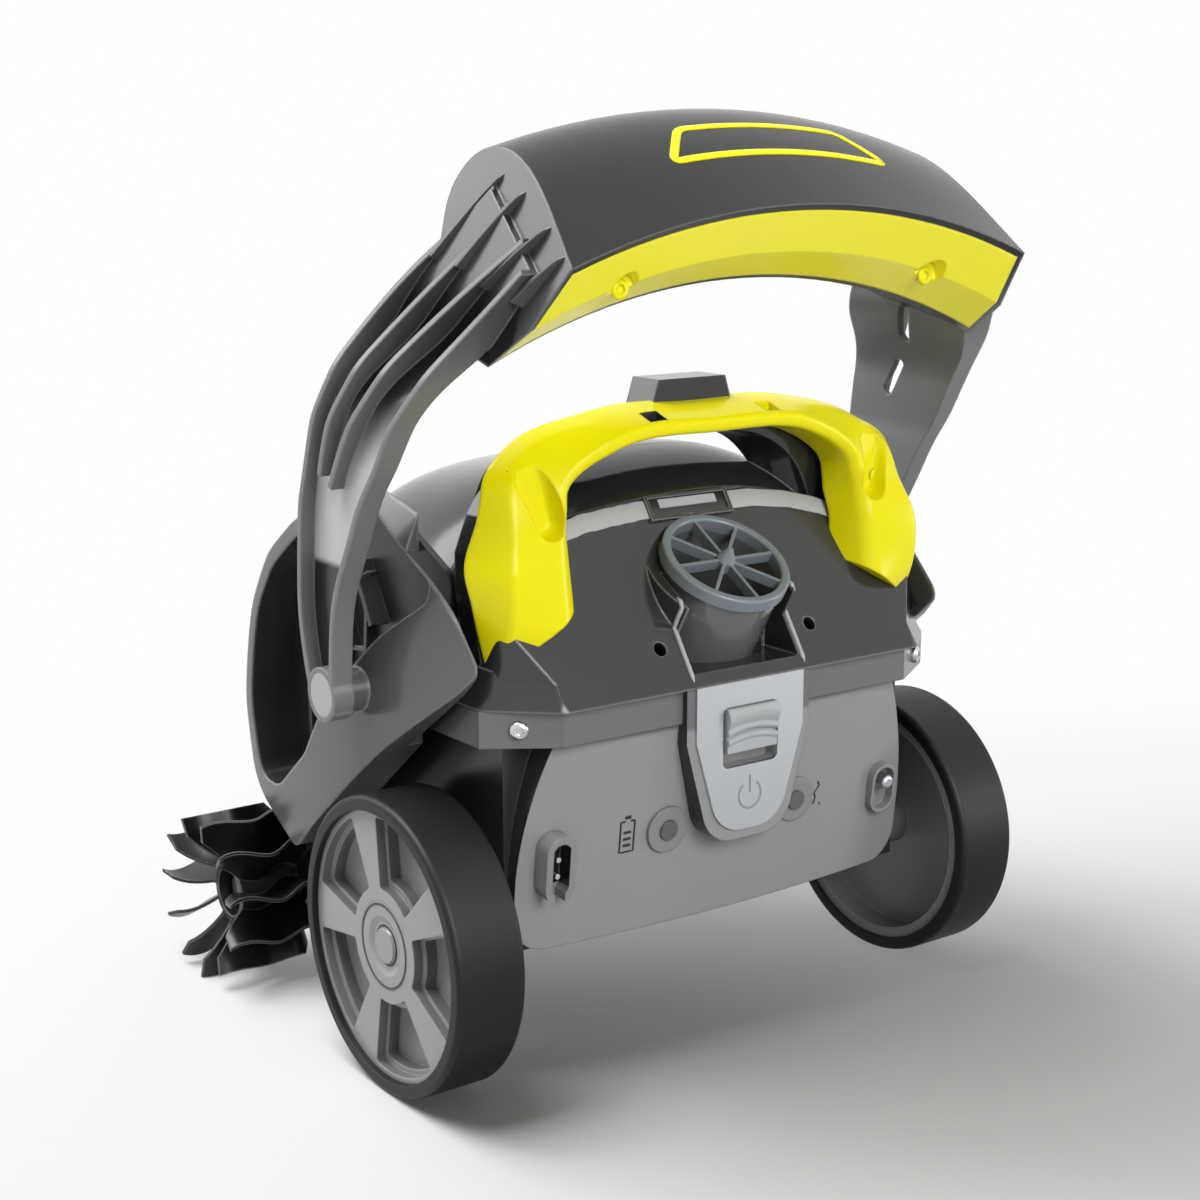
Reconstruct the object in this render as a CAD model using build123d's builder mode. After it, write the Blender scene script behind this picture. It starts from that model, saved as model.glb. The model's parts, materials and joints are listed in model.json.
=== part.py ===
"""Cordless pool cleaner: jet driven, on two wheels and two paddle brushes, with a hinged float."""

from build123d import *
import os
from math import cos, hypot, radians, sin

# All sizes are in millimetres. Places along Y are counted from the wheel axle, forward positive.

# Walls and fits
WALL = 3.0
GAP = 0.5              # between pieces that move past each other
RUN_FIT = 0.05         # radial clearance of a shaft that turns

# Wheels
AXLE_Y = -58.4         # wheel axle, seen from the middle of the whole length
WHEEL_R = 65.0
WHEEL_WIDTH = 32.6
WHEEL_SPACE = 13.1     # between the housing and a wheel
TYRE_DEPTH = 6.2
TYRE_EDGE_R = 2.5
HUB_RECESS = 3.0       # hub face behind the edge of the tyre
HUB_RIM = 5.0
HUB_FACE = 15.0
HUB_BOSS_R = 12.0
SPOKES = 5
POCKET_START = 38.0
POCKET_ANGLE = 50.0
POCKET_IN_R = 25.0
POCKET_LEDGE = 2.6
POCKET_STEP = 4.5
POCKET_DEPTH = 10.0
POCKET_CORNER_R = 1.5
HUB_CAP_R = 19.4
HUB_CAP = 4.0
HUB_CAP_DISH_R = 13.0
HUB_CAP_BUTTON_R = 7.5
WHEEL_AXLE_R = 6.0
AXLE_HEAD_R = 9.0
AXLE_HEAD = 2.5
AXLE_COLLAR_R = 11.0

# Lower housing and its rear panel
HOUSING_HALF = 112.0
HOUSING_BACK_Y = -28.0
HOUSING_FRONT_Y = 196.0
HOUSING_NOSE_R = 38.0
BELLY_Z = 60.0
BELLY_END_Y = 72.0
INTAKE_START_Y = 104.0
INTAKE_END_Y = 172.0
INTAKE_Z = 24.0
NOSE_Z = 50.0
SEAM_Z = 170.0
SEAM_Y = -4.0          # the lid seam starts to fall here
LID_FRONT_Y = 203.0
LID_FRONT_Z = 108.0
PANEL_INSET = 2.0      # sides of the panel inside those of the housing
PANEL_DRAW = 23.0      # how far the panel draws in towards its top
PANEL_LOW_Y = -38.0
PANEL_TOP_Y = -50.0
PANEL_CROWN = 8.0      # how far the middle of the panel stands behind its ends
PANEL_CORNER_R = 16.0
FLANGE_OUT = 13.5
FLANGE_DEPTH = 16.0
FLANGE_CHAMFER = 29.5
FLANGE_CORNER_Y = -31.0
FLANGE_FRONT_Y = 16.0

# Rear deck
DECK_Y = -55.3
DECK_RISE = 1.48       # rise for each millimetre forward
DECK_OUT = 6.0
DECK_CHAMFER = 26.0
DECK_CORNER_Y = -32.0
DECK_CORNER_R = 10.0
DECK_TAPER = 5.0
DECK_TOP_Z = 246.0
SKIRT_OUT = 7.0        # how far the foot of the deck flares
SKIRT_TAPER = 28.0
SKIRT = 15.0
HOLE_X = 42.1
HOLE_Z = 186.9
HOLE_R = 3.2

# Jet
JET_Y = -36.5
JET_Z = 220.9
JET_TILT = 31.2
JET_RIM_R = 29.6
JET_RIM = 6.0
JET_TUBE_R = 28.0
JET_TUBE_WALL = 2.5
JET_TUBE_LENGTH = 40.0
JET_POCKET_HALF = 29.5
JET_POCKET_Z = 175.5
JET_FAIRING_R = 35.0
JET_FAIRING_DROP = 9.0
VANES = 8
VANE = 1.6
GRILLE_HUB_R = 4.5
SHAFT_R = 3.0
IMPELLER_R = 24.0
IMPELLER_HUB_R = 7.0
IMPELLER_DEPTH = 10.0
BLADES = 3
MOTOR_R = 24.0
MOTOR_LENGTH = 46.0
MOTOR_DROP = 80.0      # motor top below the jet's rim, along the jet's axis
CAGE_R = 31.0
CAGE_RING = 7.0
CAGE_POSTS = 4
CAGE_POST = 7.0

# Dome: how far it stands out past the housing's sides and its top height, at each station along Y
DOME_STATIONS = [(-4.0, 5.0, 246.0), (50.0, 4.0, 262.0), (110.0, 2.0, 252.0),
                 (160.0, -5.0, 238.0), (188.0, -16.0, 218.0), (203.0, -40.0, 180.0)]
LID_REAR_Y = 31.0
LID_GAP = 0.3
HINGE_Y = 202.2
HINGE_Z = 98.0
HINGE_R = 2.5
HINGE_LUG_R = 5.5
HINGE_LUG = 10.0
HINGE_X = 40.0

# Handle
BRIDGE_FRONT_Y = 13.0
BRIDGE_TOP_Z = 286.0
BRIDGE_REAR_Y = -20.0
GRIP_Y = -7.0
TAB_HALF = 18.5
TAB_SPREAD = 4.5
TAB_Z = 297.0
TAB_REAR_Y = -11.0
TAB_FRONT_Y = 8.0
WINDOW_X = 31.7
WINDOW_Y = -25.0
WINDOW_Z = 276.0
WINDOW = 8.0
WELL_X = 99.0
WELL_Z = 246.0
WELL_R = 6.0
WELL_LENGTH = 20.0
WELL_FLOOR_Y = -24.0

# Switch, lights and sockets on the panel
PLATE_Y = -52.0
PLATE = 2.5
PLATE_HALF = 30.0
PLATE_TOP_Z = 169.8
PLATE_LOW_Z = 102.0
PLATE_LOW_R = 17.0
PLATE_BORDER = 4.5
SLIDER_WINDOW_W = 31.0
SLIDER_WINDOW_H = 27.5
SLIDER_WINDOW_Z = 145.0
SLIDER_W = 28.0
SLIDER_H = 20.0
SLIDER_DEPTH = 5.0     # slider behind the plate
SLIDER_PROUD = 3.5
LIGHT_X = 36.6
LIGHT_Z = 105.2
LIGHT_RING_R = 10.5
LIGHT_LENS_R = 4.5
LIGHT_PROUD = 1.2
SOCKET_INSET = 16.2
SOCKET_Z = 99.6
SOCKET_W = 15.0
SOCKET_H = 24.0
INLET_H = 30.0
SOCKET_PROUD = 8.0
SEAT = 3.0
SOCKET_WALL = 3.2
PIN_PITCH = 7.6
PIN_R = 1.2
STUD_R = 3.4
SCREW_R = 2.0
SCREW_HEAD_R = 4.1
SCREW_HEAD = 3.0
SCREW_LENGTH = 10.0
SEAM_SCREW_INSET = 13.9

# Side frames
FRAME_SPACE = 10.0     # between the housing and a side frame
FRAME_REAR_STEP = 6.5
FRAME_DEPTH = 25.0
FRAME_WALL = 4.0
FRAME_RIM = 5.0
FRAME_CORNER_R = 6.0
EYE_CORNER_R = 5.0
BARREL_Y = 100.0
BARREL_R = 650.0
BARREL_TURN = 18.0
LINER = 3.0
SPACER_R = 6.0

# Float on its two arms
PIVOT_Y = 38.7
PIVOT_Z = 167.4
PIVOT_R = 6.0
PIVOT_CAP_R = 9.5
PIVOT_CAP = 2.5
PIVOT_BOSS_R = 12.0
ARM_SPACE = 4.0        # between a side frame and an arm
ARM_DEPTH = 9.5
ARM_FLOOR = 3.0
ARM_BEND_R = 40.0
RIB = 3.2
FLOAT_ARCH_Z = 40.0    # height of the axis that the float's arch is struck from
FLOAT_HALF_TOP = 107.0
FLOAT_TOP_Z = 398.0
FLOAT_FLARE = 0.279    # how much wider the float gets for each millimetre down
FLOAT_SWEEP = 27.0
CAP_EDGE = 2.4
CAP_WALL = 3.4
SCALLOP_X = 82.0
SCALLOP_Z = 341.0
SCALLOP_R = 7.0

# Paddle brushes
BRUSH_Y = 160.5
BRUSH_R = 39.6
BRUSH_WIDTH = 49.0
BRUSH_HUB_R = 15.0
BRUSH_HUB_WIDTH = 31.5
FINS = 11
FIN = 1.8
FIN_WAVE = 2.4
FIN_START = 4.8
BRUSH_AXLE_R = 5.0
BRUSH_HEAD_R = 8.0
BRUSH_CUP_R = 11.0
BRUSH_CUP = 9.0
BRACKET = 6.5

# Inside
BATTERY = (150.0, 56.0, 22.0)
BATTERY_Y = 8.0
BOARD = (120.0, 34.0, 1.6)
BASKET_HALF = 84.0
BASKET_REAR_Y = 66.0
BASKET_FRONT_Y = 184.0
BASKET_H = 46.0
BASKET_WALL = 2.5
SLOT_HALF = 60.0
SLOT_REAR_Y = 112.0
SLOT_FRONT_Y = 140.0
FLAP = 2.0
FLAP_LAP = 3.0
FLAP_PIN_R = 1.6
FLAP_EYE_R = 3.2
FLAP_EYE_X = 30.0

# Widths that follow from the housing
WHEEL_INNER_X = HOUSING_HALF + WHEEL_SPACE
WHEEL_OUTER_X = WHEEL_INNER_X + WHEEL_WIDTH
HUB_FACE_X = WHEEL_OUTER_X - HUB_RECESS
HUB_BACK_X = WHEEL_INNER_X + HUB_RECESS / 2
PANEL_HALF = HOUSING_HALF - PANEL_INSET
PANEL_TOP_HALF = PANEL_HALF - PANEL_DRAW
SOCKET_X = PANEL_HALF - SOCKET_INSET
FLANGE_HALF = HOUSING_HALF + FLANGE_OUT
FLANGE_REAR_HALF = FLANGE_HALF - FLANGE_CHAMFER
SEAM_SCREW_X = FLANGE_HALF - SEAM_SCREW_INSET
DECK_HALF = HOUSING_HALF + DECK_OUT
DECK_REAR_HALF = DECK_HALF - DECK_CHAMFER
FRAME_X = HOUSING_HALF + FRAME_SPACE
FRAME_REAR_X = FRAME_X + FRAME_REAR_STEP
FRAME_OUTER_X = FRAME_X + FRAME_DEPTH
ARM_INNER_X = FRAME_OUTER_X + ARM_SPACE
ARM_OUTER_X = ARM_INNER_X + ARM_DEPTH
BRUSH_INNER_X = HOUSING_HALF + BRACKET + GAP
BRUSH_HUB_X = BRUSH_INNER_X + BRUSH_HUB_WIDTH
BRUSH_OUTER_X = BRUSH_INNER_X + BRUSH_WIDTH

SEAM_FALL = (SEAM_Z - LID_FRONT_Z) / (LID_FRONT_Y - SEAM_Y)


def side(x):
    """Plane facing right at x: its own x runs forward from the wheel axle, its own y is up."""
    return Plane(origin=(x, AXLE_Y, 0), x_dir=(0, 1, 0), z_dir=(1, 0, 0))


def rear(y):
    """Plane facing the rear at y: its own x runs right, its own y is up."""
    return Plane(origin=(0, AXLE_Y + y, 0), x_dir=(1, 0, 0), z_dir=(0, -1, 0))


def plan(z):
    """Level plane at z: its own x runs right, its own y forward from the wheel axle."""
    return Plane(origin=(0, AXLE_Y, z), x_dir=(1, 0, 0), z_dir=(0, 0, 1))


def at(x, y, z):
    return Vector(x, AXLE_Y + y, z)


def mirrored(points):
    """Right-hand outline points followed by their left-hand twins, in order round the outline."""
    return points + [(-x, y) for x, y in reversed(points)]


def seam_z(y):
    return SEAM_Z - SEAM_FALL * max(y - SEAM_Y, 0.0)


def deck_y(z):
    return DECK_Y + (z - SEAM_Z) / DECK_RISE


def panel_y(x, z):
    """Outer face of the rear panel."""
    lean = (z - BELLY_Z) / (SEAM_Z - BELLY_Z)
    middle = PANEL_LOW_Y + (PANEL_TOP_Y - PANEL_LOW_Y) * lean
    return middle + PANEL_CROWN * (x / PANEL_HALF) ** 2


def panel_plane(x, z):
    """Plane on the rear panel's face."""
    lean = (PANEL_TOP_Y - PANEL_LOW_Y) / (SEAM_Z - BELLY_Z)
    return Plane(origin=at(x, panel_y(x, z), z), x_dir=(1, 0, 0), z_dir=(0, -1, lean))


def corner_plane(hand):
    """Plane on the slanting corner of the flange, at its screw; hand is 1 on the right and -1 on the left."""
    run = FLANGE_HALF - FLANGE_REAR_HALF
    fall = FLANGE_CORNER_Y - PANEL_TOP_Y
    y = PANEL_TOP_Y + fall * (SEAM_SCREW_X - FLANGE_REAR_HALF) / run
    return Plane(origin=at(hand * SEAM_SCREW_X, y, SEAM_Z - FLANGE_DEPTH / 2), x_dir=(0, 0, 1),
                 z_dir=(hand * fall, -run, 0))


seam_plane = Plane(origin=at(0, SEAM_Y, SEAM_Z), x_dir=(1, 0, 0), z_dir=(0, SEAM_FALL, 1))
jet_plane = Plane(origin=at(0, JET_Y, JET_Z), x_dir=(1, 0, 0),
                  z_dir=(0, -sin(radians(JET_TILT)), cos(radians(JET_TILT))))
jet_axis = Axis(jet_plane.origin, jet_plane.z_dir)
BRUSH_Z = BRUSH_R
FLAP_Z = INTAKE_Z + WALL + LID_GAP
FLAP_PIN_Y = SLOT_FRONT_Y + 4
FLAP_PIN_Z = FLAP_Z + FLAP_EYE_R

pieces = {}
right_pieces = {}

# Wheels
wheel_plane = Plane(origin=(0, AXLE_Y, WHEEL_R), x_dir=(1, 0, 0), z_dir=(0, -1, 0))
wheel_axis = Axis((0, AXLE_Y, WHEEL_R), (1, 0, 0))
wheel_face = Plane(origin=(HUB_FACE_X, AXLE_Y, WHEEL_R), x_dir=(0, 1, 0), z_dir=(1, 0, 0))
HUB_R = WHEEL_R - TYRE_DEPTH
AXLE_SEAT_X = HUB_FACE_X - HUB_CAP - AXLE_HEAD - 2 * GAP

with BuildPart() as right_tyre:
    with BuildSketch(wheel_plane):
        with Locations((WHEEL_INNER_X + WHEEL_WIDTH / 2, WHEEL_R - TYRE_DEPTH / 2)):
            Rectangle(WHEEL_WIDTH, TYRE_DEPTH)
        fillet(vertices().group_by(Axis.Y)[-1], TYRE_EDGE_R)
    revolve(axis=wheel_axis)
right_pieces["tyre"] = right_tyre


def pocket(inset):
    """Outline of one pocket between two spokes, centred on its own x axis."""
    with BuildSketch() as outline:
        with BuildLine():
            inner = CenterArc((0, 0), POCKET_IN_R + inset, -POCKET_ANGLE / 2, POCKET_ANGLE)
            outer = CenterArc((0, 0), HUB_R - HUB_RIM / 2 - inset, -POCKET_ANGLE / 2, POCKET_ANGLE)
            Line(inner @ 0, outer @ 0)
            Line(inner @ 1, outer @ 1)
        make_face()
        offset(amount=-inset - 0.01, mode=Mode.REPLACE)
        fillet(outline.vertices(), POCKET_CORNER_R)
    return outline.sketch


pocket_mouth = pocket(0)
pocket_floor = pocket(POCKET_LEDGE / 2)

with BuildPart() as right_hub:
    with BuildSketch(wheel_plane):
        with BuildLine():
            Polyline((HUB_BACK_X, HUB_R), (HUB_FACE_X, HUB_R), (HUB_FACE_X, 0), (HUB_BACK_X, 0),
                     (HUB_BACK_X, HUB_BOSS_R), (HUB_FACE_X - HUB_FACE, HUB_BOSS_R),
                     (HUB_FACE_X - HUB_FACE, HUB_R - HUB_RIM), (HUB_BACK_X, HUB_R - HUB_RIM), close=True)
        make_face()
    revolve(axis=wheel_axis)
    with BuildSketch(wheel_face):
        with PolarLocations(0, SPOKES, start_angle=POCKET_START):
            add(pocket_mouth)
    extrude(amount=-POCKET_STEP, mode=Mode.SUBTRACT)
    with BuildSketch(wheel_face):
        with PolarLocations(0, SPOKES, start_angle=POCKET_START):
            add(pocket_floor)
    extrude(amount=-POCKET_DEPTH, mode=Mode.SUBTRACT)
    with BuildSketch(wheel_face):
        Circle(HUB_CAP_R)
    extrude(amount=-HUB_CAP, mode=Mode.SUBTRACT)
    with BuildSketch(wheel_face):
        Circle(AXLE_HEAD_R + GAP)
    extrude(amount=AXLE_SEAT_X - HUB_FACE_X, mode=Mode.SUBTRACT)
    with BuildSketch(wheel_face):
        Circle(WHEEL_AXLE_R + RUN_FIT)
    extrude(amount=-2 * WHEEL_WIDTH, mode=Mode.SUBTRACT)
right_pieces["hub"] = right_hub

with BuildPart() as right_hub_cap:
    with BuildSketch(wheel_plane):
        with BuildLine():
            Polyline((HUB_FACE_X - HUB_CAP, 0), (HUB_FACE_X, 0), (HUB_FACE_X, HUB_CAP_BUTTON_R),
                     (HUB_FACE_X - HUB_CAP / 2, HUB_CAP_BUTTON_R + 1), (HUB_FACE_X, HUB_CAP_DISH_R),
                     (HUB_FACE_X, HUB_CAP_R), (HUB_FACE_X - HUB_CAP, HUB_CAP_R), close=True)
        make_face()
    revolve(axis=wheel_axis)
right_pieces["hub_cap"] = right_hub_cap

with BuildPart() as right_wheel_axle:
    with BuildSketch(wheel_plane):
        with BuildLine():
            Polyline((HOUSING_HALF - 4 * WALL, 0), (AXLE_SEAT_X + GAP + AXLE_HEAD, 0),
                     (AXLE_SEAT_X + GAP + AXLE_HEAD, AXLE_HEAD_R), (AXLE_SEAT_X + GAP, AXLE_HEAD_R),
                     (AXLE_SEAT_X + GAP, WHEEL_AXLE_R), (HUB_BACK_X - GAP, WHEEL_AXLE_R),
                     (HUB_BACK_X - GAP, AXLE_COLLAR_R), (HOUSING_HALF, AXLE_COLLAR_R),
                     (HOUSING_HALF, WHEEL_AXLE_R), (HOUSING_HALF - 4 * WALL, WHEEL_AXLE_R), close=True)
        make_face()
    revolve(axis=wheel_axis)
right_pieces["wheel_axle"] = right_wheel_axle

# Lower housing
with BuildPart() as panel_block:
    for level, middle_y in ((BELLY_Z, PANEL_LOW_Y), (SEAM_Z, PANEL_TOP_Y)):
        with BuildSketch(plan(level)):
            with BuildLine():
                back = ThreePointArc((-PANEL_HALF, middle_y + PANEL_CROWN), (0, middle_y),
                                     (PANEL_HALF, middle_y + PANEL_CROWN))
                Polyline(back @ 1, (PANEL_HALF, HOUSING_BACK_Y + WALL), (-PANEL_HALF, HOUSING_BACK_Y + WALL),
                         back @ 0)
            make_face()
    loft(ruled=True)
    with BuildSketch(rear(HOUSING_BACK_Y + WALL)) as panel_outline:
        with BuildLine():
            right_edge = ThreePointArc((PANEL_TOP_HALF, SEAM_Z), (PANEL_TOP_HALF + 17, SEAM_Z - 39),
                                       (PANEL_HALF, SEAM_Z - 75))
            left_edge = ThreePointArc((-PANEL_TOP_HALF, SEAM_Z), (-PANEL_TOP_HALF - 17, SEAM_Z - 39),
                                      (-PANEL_HALF, SEAM_Z - 75))
            Line(left_edge @ 0, right_edge @ 0)
            Polyline(right_edge @ 1, (PANEL_HALF, BELLY_Z), (-PANEL_HALF, BELLY_Z), left_edge @ 1)
        make_face()
        fillet(panel_outline.vertices().group_by(Axis.Y)[0], PANEL_CORNER_R)
    extrude(amount=100, mode=Mode.INTERSECT)


def tub(inset):
    """The housing's own block, or the hollow in it when inset by its wall."""
    with BuildPart() as block:
        with BuildSketch(side(0)):
            with BuildLine():
                Polyline((HOUSING_BACK_Y + inset, SEAM_Z + inset), (HOUSING_BACK_Y + inset, BELLY_Z + inset),
                         (BELLY_END_Y + inset / 2, BELLY_Z + inset),
                         (INTAKE_START_Y + inset / 2, INTAKE_Z + inset),
                         (INTAKE_END_Y - inset / 2, INTAKE_Z + inset),
                         (HOUSING_FRONT_Y - inset, NOSE_Z + inset / 2),
                         (HOUSING_FRONT_Y - inset, seam_z(HOUSING_FRONT_Y) + inset),
                         (SEAM_Y, SEAM_Z + inset), close=True)
            make_face()
        extrude(amount=HOUSING_HALF - inset, both=True)
        front_face = block.faces().filter_by(Axis.Y).sort_by(Axis.Y)[-1]
        fillet(front_face.edges().filter_by(Axis.Z), HOUSING_NOSE_R - inset)
    return block.part


tub_block = tub(0)
tub_hollow = tub(WALL)



def shield(border):
    """Outline of the switch plate, or of the frame round it when widened by a border."""
    with BuildSketch() as outline:
        with BuildLine():
            Polyline(*mirrored([(PLATE_HALF + border, PLATE_TOP_Z), (PLATE_HALF + border, SLIDER_WINDOW_Z),
                                (PLATE_LOW_R + border, PLATE_LOW_Z - border)]), close=True)
        make_face()
        fillet(outline.vertices().group_by(Axis.Y)[0], PLATE_LOW_R)
    return outline.sketch


plate_shield = shield(0)
plate_frame = shield(PLATE_BORDER)
with BuildSketch() as slider_opening:
    with Locations((0, SLIDER_WINDOW_Z)):
        RectangleRounded(SLIDER_WINDOW_W, SLIDER_WINDOW_H, WALL)
slider_window = slider_opening.sketch

with BuildPart() as lower_housing:
    add(tub_block)
    add(panel_block.part)
    with BuildSketch(plan(SEAM_Z)):
        with BuildLine():
            Polyline(*mirrored([(FLANGE_REAR_HALF, PANEL_TOP_Y), (FLANGE_HALF, FLANGE_CORNER_Y),
                                (FLANGE_HALF, FLANGE_FRONT_Y)]), close=True)
        make_face()
    extrude(amount=-FLANGE_DEPTH)
    split(bisect_by=seam_plane, keep=Keep.BOTTOM)
    # raised frame round the switch plate
    with BuildSketch(rear(HOUSING_BACK_Y)):
        add(plate_frame)
    extrude(amount=HOUSING_BACK_Y - PLATE_Y + PLATE / 2)
    with BuildSketch(rear(PLATE_Y)):
        add(plate_shield)
    extrude(amount=PLATE, mode=Mode.SUBTRACT)
    with BuildSketch(rear(PLATE_Y)):
        add(slider_window)
    extrude(amount=-SLIDER_DEPTH - GAP, mode=Mode.SUBTRACT)
    # seats of the lights, the sockets and the corner screws
    for x in (-1, 1):
        with BuildSketch(panel_plane(x * LIGHT_X, LIGHT_Z).offset(-SEAT)):
            Circle(LIGHT_RING_R)
        extrude(amount=3 * SEAT, mode=Mode.SUBTRACT)
        with BuildSketch(corner_plane(x)):
            Circle(SCREW_R)
        extrude(amount=-SCREW_LENGTH, mode=Mode.SUBTRACT)
    with BuildSketch(panel_plane(-SOCKET_X, SOCKET_Z).offset(-SEAT)):
        RectangleRounded(SOCKET_W, INLET_H, SOCKET_W / 2 - GAP)
    extrude(amount=3 * SEAT, mode=Mode.SUBTRACT)
    with BuildSketch(panel_plane(SOCKET_X, SOCKET_Z).offset(-SEAT)):
        RectangleRounded(SOCKET_W, SOCKET_H, SOCKET_W / 2 - GAP)
    extrude(amount=3 * SEAT, mode=Mode.SUBTRACT)
    add(tub_hollow, mode=Mode.SUBTRACT)
    # room for the pump
    with BuildSketch(jet_plane.offset(-JET_TUBE_LENGTH)):
        Circle(CAGE_R + GAP)
    extrude(amount=-MOTOR_DROP, mode=Mode.SUBTRACT)
    # wheel axle bosses
    for x in (-1, 1):
        with BuildSketch(side(x * HOUSING_HALF)):
            with Locations((0, WHEEL_R)):
                Circle(AXLE_COLLAR_R)
        extrude(amount=-x * 4 * WALL)
        with BuildSketch(side(x * HOUSING_HALF)):
            with Locations((0, WHEEL_R)):
                Circle(WHEEL_AXLE_R)
        extrude(amount=-x * 4 * WALL, mode=Mode.SUBTRACT)
        with BuildSketch(side(x * HOUSING_HALF)):
            with Locations((BRUSH_Y, BRUSH_Z)):
                Circle(BRUSH_AXLE_R)
        extrude(amount=-x * 4 * WALL, mode=Mode.SUBTRACT)
    # lugs of the lid hinge
    for x in (-1, 1):
        with BuildSketch(side(x * HINGE_X)):
            with Locations((HINGE_Y, HINGE_Z)):
                Circle(HINGE_LUG_R)
            with BuildLine():
                Polyline((HOUSING_FRONT_Y - WALL / 2, HINGE_Z - 2 * HINGE_LUG_R),
                         (HINGE_Y, HINGE_Z - HINGE_LUG_R), (HINGE_Y, HINGE_Z + HINGE_LUG_R),
                         (HOUSING_FRONT_Y - WALL / 2, HINGE_Z + HINGE_LUG_R), close=True)
            make_face()
            with Locations((HINGE_Y, HINGE_Z)):
                Circle(HINGE_R, mode=Mode.SUBTRACT)
        extrude(amount=-x * HINGE_LUG)
    # intake slot in the floor
    with BuildSketch(plan(INTAKE_Z)):
        with Locations((0, (SLOT_REAR_Y + SLOT_FRONT_Y) / 2)):
            Rectangle(2 * SLOT_HALF, SLOT_FRONT_Y - SLOT_REAR_Y)
    extrude(amount=WALL, mode=Mode.SUBTRACT)
    # lugs of the intake flap
    for x in (-1, 1):
        with BuildSketch(side(x * (FLAP_EYE_X + GAP))):
            with Locations((FLAP_PIN_Y, FLAP_PIN_Z)):
                Circle(FLAP_EYE_R)
            with Locations((FLAP_PIN_Y, FLAP_Z)):
                Rectangle(2 * FLAP_EYE_R, 2 * (FLAP_PIN_Z - FLAP_Z))
            with Locations((FLAP_PIN_Y, FLAP_PIN_Z)):
                Circle(FLAP_PIN_R, mode=Mode.SUBTRACT)
        extrude(amount=x * 2 * WALL)
pieces["lower_housing"] = lower_housing


# Rear deck
def arch(plane_y, half, base_z, top_z):
    """Cross-section of the dome: upright flanks that turn into a flat crown."""
    rise = top_z - base_z
    shoulder = [(0.93, 0.46), (0.69, 0.80), (0.43, 0.95), (0.0, 1.0)]
    crown = [(half * w, base_z + rise * h) for w, h in shoulder]
    curve = [(half, base_z)] + crown + [(-x, z) for x, z in reversed(crown[:-1])] + [(-half, base_z)]
    with BuildSketch(rear(plane_y)) as section:
        with BuildLine():
            Spline(*curve, tangents=((0, 1), (0, -1)))
            Line(curve[-1], curve[0])
        make_face()
    return section.sketch


def deck_outline(half, rear_half, inset):
    with BuildSketch(plan(SEAM_Z)) as base:
        with BuildLine():
            Polyline(*mirrored([(rear_half - inset, DECK_Y), (half - inset, DECK_CORNER_Y + inset),
                                (half - inset, -DECK_Y)]), close=True)
        make_face()
        corners = base.vertices().group_by(Axis.Y)
        fillet(corners[0] + corners[1], DECK_CORNER_R)
    return base.sketch


deck_slope = Plane(origin=at(0, DECK_Y, SEAM_Z), x_dir=(1, 0, 0), z_dir=(0, -DECK_RISE, 1))


def deck_block(inset):
    """The deck's own block, or the hollow in it when inset by its wall."""
    skirt_base = deck_outline(DECK_HALF + SKIRT_OUT, DECK_REAR_HALF + SKIRT_OUT, inset)
    wall_base = deck_outline(DECK_HALF, DECK_REAR_HALF, inset)
    roof = arch(DECK_Y, DECK_HALF - inset, SEAM_Z - WALL, DECK_TOP_Z - inset)
    with BuildPart() as block:
        extrude(wall_base, amount=DECK_TOP_Z - SEAM_Z, taper=DECK_TAPER)
        extrude(roof, amount=3 * DECK_Y, mode=Mode.INTERSECT)
        extrude(skirt_base, amount=SKIRT - inset, taper=SKIRT_TAPER)
        split(bisect_by=deck_slope.offset(-inset), keep=Keep.BOTTOM)
        split(bisect_by=rear(SEAM_Y - GAP), keep=Keep.TOP)
    return block.part


deck_solid = deck_block(0)
deck_hollow = deck_block(WALL)


with BuildPart() as deck_cavity:
    add(deck_hollow)
    with BuildSketch(plan(JET_POCKET_Z - WALL)):
        with Locations((0, DECK_Y)):
            Rectangle(2 * (JET_POCKET_HALF + WALL), -3 * DECK_Y)
    extrude(amount=DECK_TOP_Z - SEAM_Z, mode=Mode.SUBTRACT)

with BuildPart() as rear_deck:
    with BuildSketch(jet_plane.offset(-JET_FAIRING_DROP)):
        Circle(JET_FAIRING_R)
    extrude(amount=JET_FAIRING_DROP - JET_TUBE_LENGTH)
    split(bisect_by=plan(SEAM_Z), keep=Keep.TOP)
    split(bisect_by=rear(SEAM_Y - GAP), keep=Keep.TOP)
    add(deck_solid)
    add(deck_cavity.part, mode=Mode.SUBTRACT)
    with BuildSketch(plan(JET_POCKET_Z)):
        with Locations((0, 1.5 * DECK_Y)):
            Rectangle(2 * JET_POCKET_HALF, -2 * DECK_Y)
    extrude(amount=DECK_TOP_Z - SEAM_Z, mode=Mode.SUBTRACT)
    with BuildSketch(jet_plane):
        Circle(JET_TUBE_R)
    extrude(amount=-2 * JET_TUBE_LENGTH, mode=Mode.SUBTRACT)
    with BuildSketch(jet_plane.offset(-JET_RIM)):
        Circle(JET_RIM_R + GAP)
    extrude(amount=2 * JET_RIM, mode=Mode.SUBTRACT)
    with BuildSketch(jet_plane.offset(-JET_TUBE_LENGTH)):
        Circle(CAGE_R + GAP)
    extrude(amount=-JET_TUBE_LENGTH, mode=Mode.SUBTRACT)
    for x in (-HOLE_X, HOLE_X):
        with BuildSketch(Plane(at(x, deck_y(HOLE_Z), HOLE_Z), x_dir=(1, 0, 0), z_dir=deck_slope.z_dir)):
            Circle(HOLE_R)
        extrude(amount=-2 * WALL, mode=Mode.SUBTRACT)
pieces["rear_deck"] = rear_deck

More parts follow.
